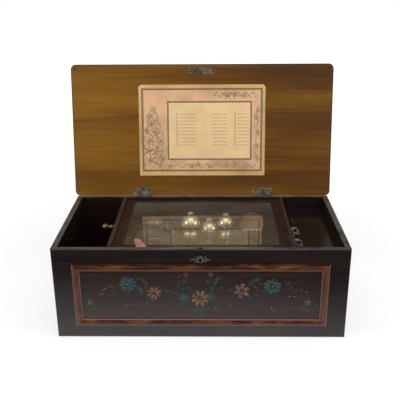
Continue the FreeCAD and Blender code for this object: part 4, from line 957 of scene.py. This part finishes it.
# ---- Pinned cylinder ----------------------------------------------------------------------
# A brass tube with some two thousand steel pins driven in along the tracks of the tunes. Each
# pin stands less than a millimetre proud, and clears the tails of the hammers.
PIN_TRACKS, PIN_COUNT, PIN_SEEDS = 60, 1900, (11, 12)
PIN_RADIUS, PIN_PROUD, PIN_SIDES = 0.32 * MM, 0.85 * MM, 5
PLAIN_END = 3 * MM
finish("cylinder", turned_brass("turned_cylinder", "cylinder", 1.4 * MM))
roller_low, roller_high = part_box("cylinder")
roller_axis = (roller_low + roller_high) / 2


def pinned_tracks():
    """Pins on random places of evenly spaced tracks round an axis along X, from fixed seeds."""
    tree, given = tree_with("pinned_tracks", (("Pins", "Int"), ("Tracks", "Int"), ("Length", "Float"),
                                              ("Radius", "Float"), ("Pin radius", "Float"),
                                              ("Proud", "Float"), ("Steel", "Material")))
    which, around = (wired(tree, "FunctionNodeRandomValue", Seed=seed).outputs[1] for seed in PIN_SEEDS)
    track = calc(tree, "FLOOR", calc(tree, "MULTIPLY", which, given["Tracks"]))
    pitch = calc(tree, "DIVIDE", given["Length"], given["Tracks"])
    along = calc(tree, "MULTIPLY", calc(tree, "ADD", track, 0.5), pitch)
    turn = calc(tree, "MULTIPLY", around, 2 * math.pi)
    outward = wired(tree, "ShaderNodeCombineXYZ", Y=calc(tree, "COSINE", turn),
                    Z=calc(tree, "SINE", turn)).outputs["Vector"]
    on_axis = wired(tree, "ShaderNodeCombineXYZ", X=along).outputs["Vector"]
    where = calc(tree, "MULTIPLY_ADD", outward, given["Radius"], on_axis, kind=VECTORS)
    points = wired(tree, "GeometryNodePoints", Count=given["Pins"])
    holes = wired(tree, "GeometryNodeSetPosition", Geometry=points.outputs[0], Position=where)
    pin = wired(tree, "GeometryNodeMeshCylinder", Vertices=PIN_SIDES, Radius=given["Pin radius"],
                Depth=calc(tree, "MULTIPLY", given["Proud"], 2.0))
    aimed = wired(tree, "FunctionNodeAlignRotationToVector", Vector=outward)
    aimed.axis = "Z"
    copies = wired(tree, "GeometryNodeInstanceOnPoints", Points=holes.outputs["Geometry"],
                   Instance=pin.outputs["Mesh"], Rotation=aimed.outputs["Rotation"])
    made_real(tree, copies, given["Steel"])
    return tree


pin_steel = old_metal("pin_steel", (0.20, 0.17, 0.12), (0.48, 0.43, 0.34), 0.35, 600)
pinning = {"Pins": PIN_COUNT, "Tracks": PIN_TRACKS, "Length": roller_high.x - roller_low.x - 2 * PLAIN_END,
           "Radius": roller_high.z - roller_axis.z, "Pin radius": PIN_RADIUS, "Proud": PIN_PROUD,
           "Steel": pin_steel}
first_track = Matrix.Translation((roller_low.x + PLAIN_END, roller_axis.y, roller_axis.z))
cylinder_pins = grown("cylinder_pins", pinned_tracks(), pinning, first_track, "cylinder")

# ---- Hammer rail and posts ----------------------------------------------------------------
# A steel rod on four posts carries every hammer. The bells, drum and castanet stand on turned
# posts of dull brass.
dark_steel = old_metal("dark_steel", (0.020, 0.018, 0.016), (0.085, 0.078, 0.070), 0.42, 150)
finish("hammer_rail", dark_steel)
finish("instrument_posts", old_metal("dull_brass", (0.07, 0.05, 0.025), (0.26, 0.19, 0.09), 0.45, 130))

# ---- Bells --------------------------------------------------------------------------------
# Five cast bells of gold-coloured bell metal, turned smooth, with a thin bead at the rim. Two
# posts carry a second bell under the first. Places and sizes are read off the CAD solids.
BELL_WALL, POST_HOLE = 1.4 * MM, 2.1 * MM
STACK_GAP, DOME_STEPS = 4 * MM, 18


def bell_sizes():
    """(centre, rim height, radius, height) of each bell: one or two on each hammer's line."""
    low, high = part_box("bells")
    corners = [vertex.co for vertex in nodes["bells"].data.vertices]
    lines = []
    for number in (1, 2, 3):
        start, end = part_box("bell_hammer_%d" % number)
        lines.append((start.x + end.x) / 2)
    found = []
    for x in lines:
        mine = [point for point in corners if min(lines, key=lambda line: abs(point.x - line)) == x]
        heights = sorted(point.z for point in mine)
        steps = [(b - a, (a + b) / 2) for a, b in zip(heights, heights[1:])]
        widest, split_z = max(steps)
        groups = [mine]
        if widest > STACK_GAP:
            groups = [[p for p in mine if p.z < split_z], [p for p in mine if p.z > split_z]]
        for group in groups:
            rim = min(point.z for point in group)
            top = max(point.z for point in group)
            radius = max(abs(point.x - x) for point in group)
            found.append((Vector((x, (low.y + high.y) / 2, rim)), radius, top - rim))
    return found


def lathe(bm, outline, base, axis, across, steps=64):
    """A closed (radius, distance) outline turned round an axis; ends on the axis are poles."""
    other = axis.cross(across)
    rings = []
    for radius, along in outline:
        centre = base + axis * along
        if radius < 1e-7:
            rings.append([bm.verts.new(centre)])
            continue
        rings.append([bm.verts.new(centre + (across * math.cos(turn) + other * math.sin(turn)) * radius)
                      for turn in turns(steps)])
    pairs = list(zip(rings, rings[1:]))
    if len(rings[0]) > 1:
        pairs.append((rings[-1], rings[0]))
    for first, second in pairs:
        for i in range(steps):
            j = (i + 1) % steps
            loop = [first[i % len(first)], first[j % len(first)],
                    second[j % len(second)], second[i % len(second)]]
            corners = [v for k, v in enumerate(loop) if v not in loop[:k]]
            if len(corners) > 2:
                bm.faces.new(corners)


def smoothed(piece, angle=40):
    """Smooth faces, with edges sharper than the angle left crisp."""
    for polygon in piece.data.polygons:
        polygon.use_smooth = True
    bm = bmesh.new()
    bm.from_mesh(piece.data)
    for edge in bm.edges:
        edge.smooth = len(edge.link_faces) == 2 and edge.calc_face_angle(0) < math.radians(angle)
    bm.to_mesh(piece.data)
    bm.free()


def bell_outline(radius, height):
    """Outside up from the beaded rim to the hole, then back down inside."""
    outside, inside = [], []
    for i in range(DOME_STEPS + 1):
        share = i / DOME_STEPS
        turn = share * math.acos(POST_HOLE / radius)
        flat, up = radius * math.cos(turn), math.sin(turn)
        flare = 0.35 * MM * math.exp(-share * 16)
        outside.append((flat - 0.35 * MM + flare, 0.5 * MM + (height - 0.5 * MM) * up))
        inside.append((max(flat - BELL_WALL, POST_HOLE), (height - BELL_WALL) * up))
    bead = [(radius - 1.1 * MM, 0.0), (radius - 0.3 * MM, 0.1 * MM), (radius, 0.35 * MM)]
    return bead + outside + inside[::-1][:-1]


def bell_domes(bm):
    for centre, radius, height in bell_sizes():
        lathe(bm, bell_outline(radius, height), centre, Vector((0, 0, 1)), Vector((1, 0, 0)), 72)


bell_metal, tree, shader = new_material("bell_metal")
tarnish = speckle(tree, 55, 5)
gilding = ramp(tree, tarnish, [(0.3, (0.44, 0.33, 0.19)), (0.55, (0.60, 0.48, 0.30)),
                               (0.75, (0.70, 0.58, 0.39))])
surface(tree, shader, gilding, spread(tree, tarnish, 0, 1, 0.34, 0.20), 0.8)
bumped(tree, shader, tarnish, 0.05, 0.3 * MM)
domes = painted("bell_domes", bell_domes, bell_metal)
smoothed(domes)
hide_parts("bells")

# ---- Flower nuts --------------------------------------------------------------------------
# A pressed flower of pinkish lacquered metal screwed down on each upper bell: eight cupped
# petals round a turned button.
PETALS, PETAL_SIDES, PETAL_THICK = 8, 12, 0.7 * MM
BUTTON = [(0, 0), (3.4, 0), (3.4, 0.6), (2.4, 1.6), (2.8, 2.6), (4.0, 3.4), (4.0, 4.2), (3.2, 5.1),
          (1.6, 5.7), (0, 5.9)]
nut_low, nut_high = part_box("bell_finials")


def petal(bm, hub, turned, reach, wide, rise):
    """One cupped petal: an oval plate, its rim lifted, with a thickness of its own."""
    along = heading(turned).to_3d()
    side = Vector((-along.y, along.x, 0))
    layers = []
    for lift in (0.0, PETAL_THICK):
        rings = []
        for share in (0.45, 1.0):
            ring = []
            for run, aside in map(heading, turns(PETAL_SIDES)):
                point = hub + along * reach * (0.62 + 0.38 * share * run) + side * wide * share * aside
                cup = rise * (share ** 2) * (0.55 + 0.45 * run)
                ring.append(bm.verts.new(point + Vector((0, 0, lift + cup))))
            rings.append(ring)
        layers.append(rings)
    for inner, outer in layers:
        middle = bm.verts.new(sum((v.co for v in inner), Vector()) / len(inner))
        for i in range(PETAL_SIDES):
            j = (i + 1) % PETAL_SIDES
            bm.faces.new((middle, inner[i], inner[j]))
            bm.faces.new((inner[i], outer[i], outer[j], inner[j]))
    lower, upper = layers[0][1], layers[1][1]
    for i in range(PETAL_SIDES):
        j = (i + 1) % PETAL_SIDES
        bm.faces.new((lower[i], lower[j], upper[j], upper[i]))


def flower_nuts(bm):
    reach = min(nut_high.y - nut_low.y, 17 * MM) / 2
    tops = {}
    for centre, radius, height in bell_sizes():
        crown = centre.z + height
        tops[round(centre.x, 5)] = max(crown, tops.get(round(centre.x, 5), 0.0))
    for x, crown in tops.items():
        base = Vector((x, (nut_low.y + nut_high.y) / 2, crown))
        lathe(bm, [(out * MM, up * MM) for out, up in BUTTON], base, Vector((0, 0, 1)),
              Vector((1, 0, 0)), 32)
        for turned in turns(PETALS, math.pi / PETALS):
            petal(bm, base + Vector((0, 0, 2.3 * MM)), turned, reach - 0.2 * MM, 2.7 * MM, 1.4 * MM)


flower_lacquer = old_metal("flower_lacquer", (0.40, 0.27, 0.27), (0.80, 0.66, 0.66), 0.38, 220)
flowers = painted("flower_nuts", flower_nuts, flower_lacquer)
smoothed(flowers)
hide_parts("bell_finials")

# ---- Bell hammers -------------------------------------------------------------------------
# Dark steel wire with a small round head to each bell. The middle one wears a butterfly of
# lilac lacquered tin in front of its bell.
for number in (1, 3):
    finish("bell_hammer_%d" % number, dark_steel)
wing_low, wing_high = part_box("bell_hammer_2")
wing_line = (wing_low.x + wing_high.x) / 2
lilac_tin, tree, shader = new_material("lilac_tin")
x, y, z = axes(tree)
wing_back = (wing_low.y + wing_high.y) / 2
aside = stepped(tree, calc(tree, "ABSOLUTE", calc(tree, "SUBTRACT", x, wing_line)), 1.1 * MM, 1.5 * MM)
beyond = stepped(tree, y, wing_back, wing_back + 1 * MM)
veins = grain(tree, "Z", 260, 900, 4.0, 3.0)
wing = ramp(tree, veins, [(0.3, (0.34, 0.25, 0.36)), (0.7, (0.62, 0.52, 0.62))])
surface(tree, shader, mixed(tree, calc(tree, "MULTIPLY", aside, beyond), (0.05, 0.045, 0.04), wing), 0.4, 0.7)
bumped(tree, shader, veins, 0.1, 0.1 * MM)
finish("bell_hammer_2", lilac_tin)

# ---- Drum ---------------------------------------------------------------------------------
# A nickelled pan with a flared flange, and a skin of thin parchment held down by a clawed
# hoop. The skin lets some light through, and is flecked with small stains.


def largest_face(node):
    """Normal of the widest flat side of a CAD node that looks to the front."""
    tally = {}
    for polygon in nodes[node].data.polygons:
        key = tuple(round(part, 2) for part in polygon.normal)
        tally[key] = tally.get(key, 0.0) + polygon.area
    normal = Vector(max(tally, key=lambda k: (tally[k] * (k[1] < 0))))
    return normal.normalized()


head_low, head_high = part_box("drum_head")
head_radius = (head_high.x - head_low.x) / 2
drum_nickel = old_metal("drum_nickel", (0.50, 0.49, 0.44), (0.94, 0.93, 0.86), 0.20, 70)
tree = drum_nickel.node_tree
shader = tree.nodes["Principled BSDF"]
plated = shader.inputs["Base Color"].links[0].from_socket
radial = off_axis(tree, (head_low + head_high) / 2, largest_face("drum_head"))
tarnished = calc(tree, "MULTIPLY", stepped(tree, radial, head_radius - 2.2 * MM, head_radius - 1.6 * MM),
                 stepped(tree, radial, head_radius + 2.6 * MM, head_radius + 3.2 * MM, 1, 0))
tree.links.new(mixed(tree, tarnished, plated, (0.22, 0.22, 0.18)), shader.inputs["Base Color"])
finish("drum_shell", drum_nickel)
parchment, tree, shader = new_material("parchment")
cloudy = grain(tree, "X", 26, 34, 41.0, 6.0)
specks = stepped(tree, grain(tree, "X", 240, 260, 43.0, 2.0), 0.62, 0.72)
skin = ramp(tree, cloudy, [(0.3, (0.19, 0.185, 0.13)), (0.7, (0.34, 0.33, 0.235))])
surface(tree, shader, mixed(tree, specks, skin, (0.15, 0.125, 0.08)), 0.55)
shader.inputs["Subsurface Weight"].default_value = 0.25
shader.inputs["Subsurface Radius"].default_value = (0.004, 0.003, 0.002)
shader.inputs["Subsurface Scale"].default_value = 0.5
bumped(tree, shader, cloudy, 0.15, 0.6 * MM)
finish("drum_head", parchment)

# ---- Castanet -----------------------------------------------------------------------------
# A round block of pale hardwood, turned with a groove round its face, set on its post at a
# lean. The face shows the rings of the tree and darkens to the edge.
wood_low, wood_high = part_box("castanet_block")
wood_middle, wood_radius = (wood_low + wood_high) / 2, (wood_high.x - wood_low.x) / 2
wood_face = largest_face("castanet_block")
RING_PITCH = 3.2 * MM
pale_wood, tree, shader = new_material("castanet_wood")
radial = off_axis(tree, wood_middle, wood_face)
years = calc(tree, "MULTIPLY", radial, 2 * math.pi / RING_PITCH)
rings = calc(tree, "SINE", calc(tree, "MULTIPLY_ADD", speckle(tree, 38), 9.0, years))
tone = calc(tree, "MULTIPLY_ADD", rings, 0.10, grain(tree, "Z", 60, 700, 47.0, 4.0))
wood = ramp(tree, tone, [(0.28, (0.085, 0.033, 0.004)), (0.55, (0.18, 0.075, 0.009)),
                         (0.78, (0.27, 0.120, 0.016))])
edge = stepped(tree, radial, wood_radius * 0.80, wood_radius)
surface(tree, shader, mixed(tree, edge, wood, (0.085, 0.035, 0.010)), 0.42)
bumped(tree, shader, tone, 0.12, 0.3 * MM)
finish("castanet_block", pale_wood)

# ---- Drum and castanet beaters ------------------------------------------------------------
# Thin dark wires on the same rod as the bell hammers, each tipped with a small white bead.
BEAD = 2.2 * MM


def beaded(name, node, bead_colour):
    """Dark steel wire that ends in a pale bead at its far end along +Y."""
    made, tree, shader = new_material(name)
    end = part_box(node)[1].y
    x, y, z = axes(tree)
    bead = stepped(tree, y, end - 2.0 * BEAD, end - 1.85 * BEAD)
    speck = grain(tree, "X", 700, 700, 2.0, 3.0)
    steel = ramp(tree, speck, [(0.3, (0.03, 0.027, 0.024)), (0.7, (0.10, 0.09, 0.08))])
    surface(tree, shader, mixed(tree, bead, steel, bead_colour), 0.38,
            calc(tree, "MULTIPLY_ADD", bead, -0.8, 0.8))
    bumped(tree, shader, speck, 0.05, 0.1 * MM)
    return made


drum_wire = beaded("drum_beater_finish", "drum_beater_1", (0.42, 0.40, 0.36))
castanet_wire = beaded("castanet_beater_finish", "castanet_beater_1", (0.85, 0.82, 0.76))
for node in nodes:
    if node.startswith("drum_beater_"):
        finish(node, drum_wire)
    if node.startswith("castanet_beater_"):
        finish(node, castanet_wire)

# ---- Winding lever and its handle ---------------------------------------------------------
# A flat steel lever on the end of the barrel arbor, ground bright, with a brass handle turned
# like an acorn: a collar, a neck and a ball.
finish("winding_lever", drawn_steel("lever_steel", "Z", (0.20, 0.19, 0.18), (0.46, 0.45, 0.43), 0.3))
grip_low, grip_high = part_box("lever_handle")
ACORN_FOOT = [(0, 0), (4.2, 0), (4.2, 1.1), (3.5, 1.5), (2.7, 2.2), (3.4, 3.0), (4.2, 4.3), (4.4, 5.2),
              (4.1, 6.1), (3.2, 7.2), (2.4, 8.2), (2.2, 9.2), (2.6, 10.0), (3.5, 10.6), (3.9, 11.3)]
ACORN_BALL, BALL_MIDDLE, ACORN_LONG = 6.0, 17.2, 23.2
BALL_START, BALL_END, BALL_STEPS = math.radians(38), math.radians(170), 14


def acorn(bm):
    """Turned along -X from the lever's face: foot and neck from the list, then the ball."""
    outline = list(ACORN_FOOT)
    for i in range(BALL_STEPS + 1):
        turn = BALL_START + i * (BALL_END - BALL_START) / BALL_STEPS
        outline.append((ACORN_BALL * math.sin(turn), BALL_MIDDLE - ACORN_BALL * math.cos(turn)))
    outline.append((0, ACORN_LONG))
    scale = (grip_high.x - grip_low.x) / ACORN_LONG
    base = Vector((grip_high.x, (grip_low.y + grip_high.y) / 2, (grip_low.z + grip_high.z) / 2))
    lathe(bm, [(radius * scale, along * scale) for radius, along in outline], base, Vector((-1, 0, 0)),
          Vector((0, 1, 0)), 40)


handle_brass = old_metal("handle_brass", (0.38, 0.25, 0.10), (0.80, 0.62, 0.34), 0.38, 160)
handle = painted("acorn_handle", acorn, handle_brass, "lever")
smoothed(handle)
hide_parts("lever_handle")

# ---- Control levers -----------------------------------------------------------------------
# Start and repeat levers end in nickelled fans for the thumb. The bell lever is a thin rod
# with a small dark knob.
lever_nickel = old_metal("lever_nickel", (0.26, 0.215, 0.17), (0.66, 0.57, 0.47), 0.42, 70, 0.6)
finish("start_lever", lever_nickel)
finish("repeat_lever", lever_nickel)
finish("bell_lever", old_metal("knob_brown", (0.05, 0.030, 0.016), (0.26, 0.155, 0.075), 0.40, 200))
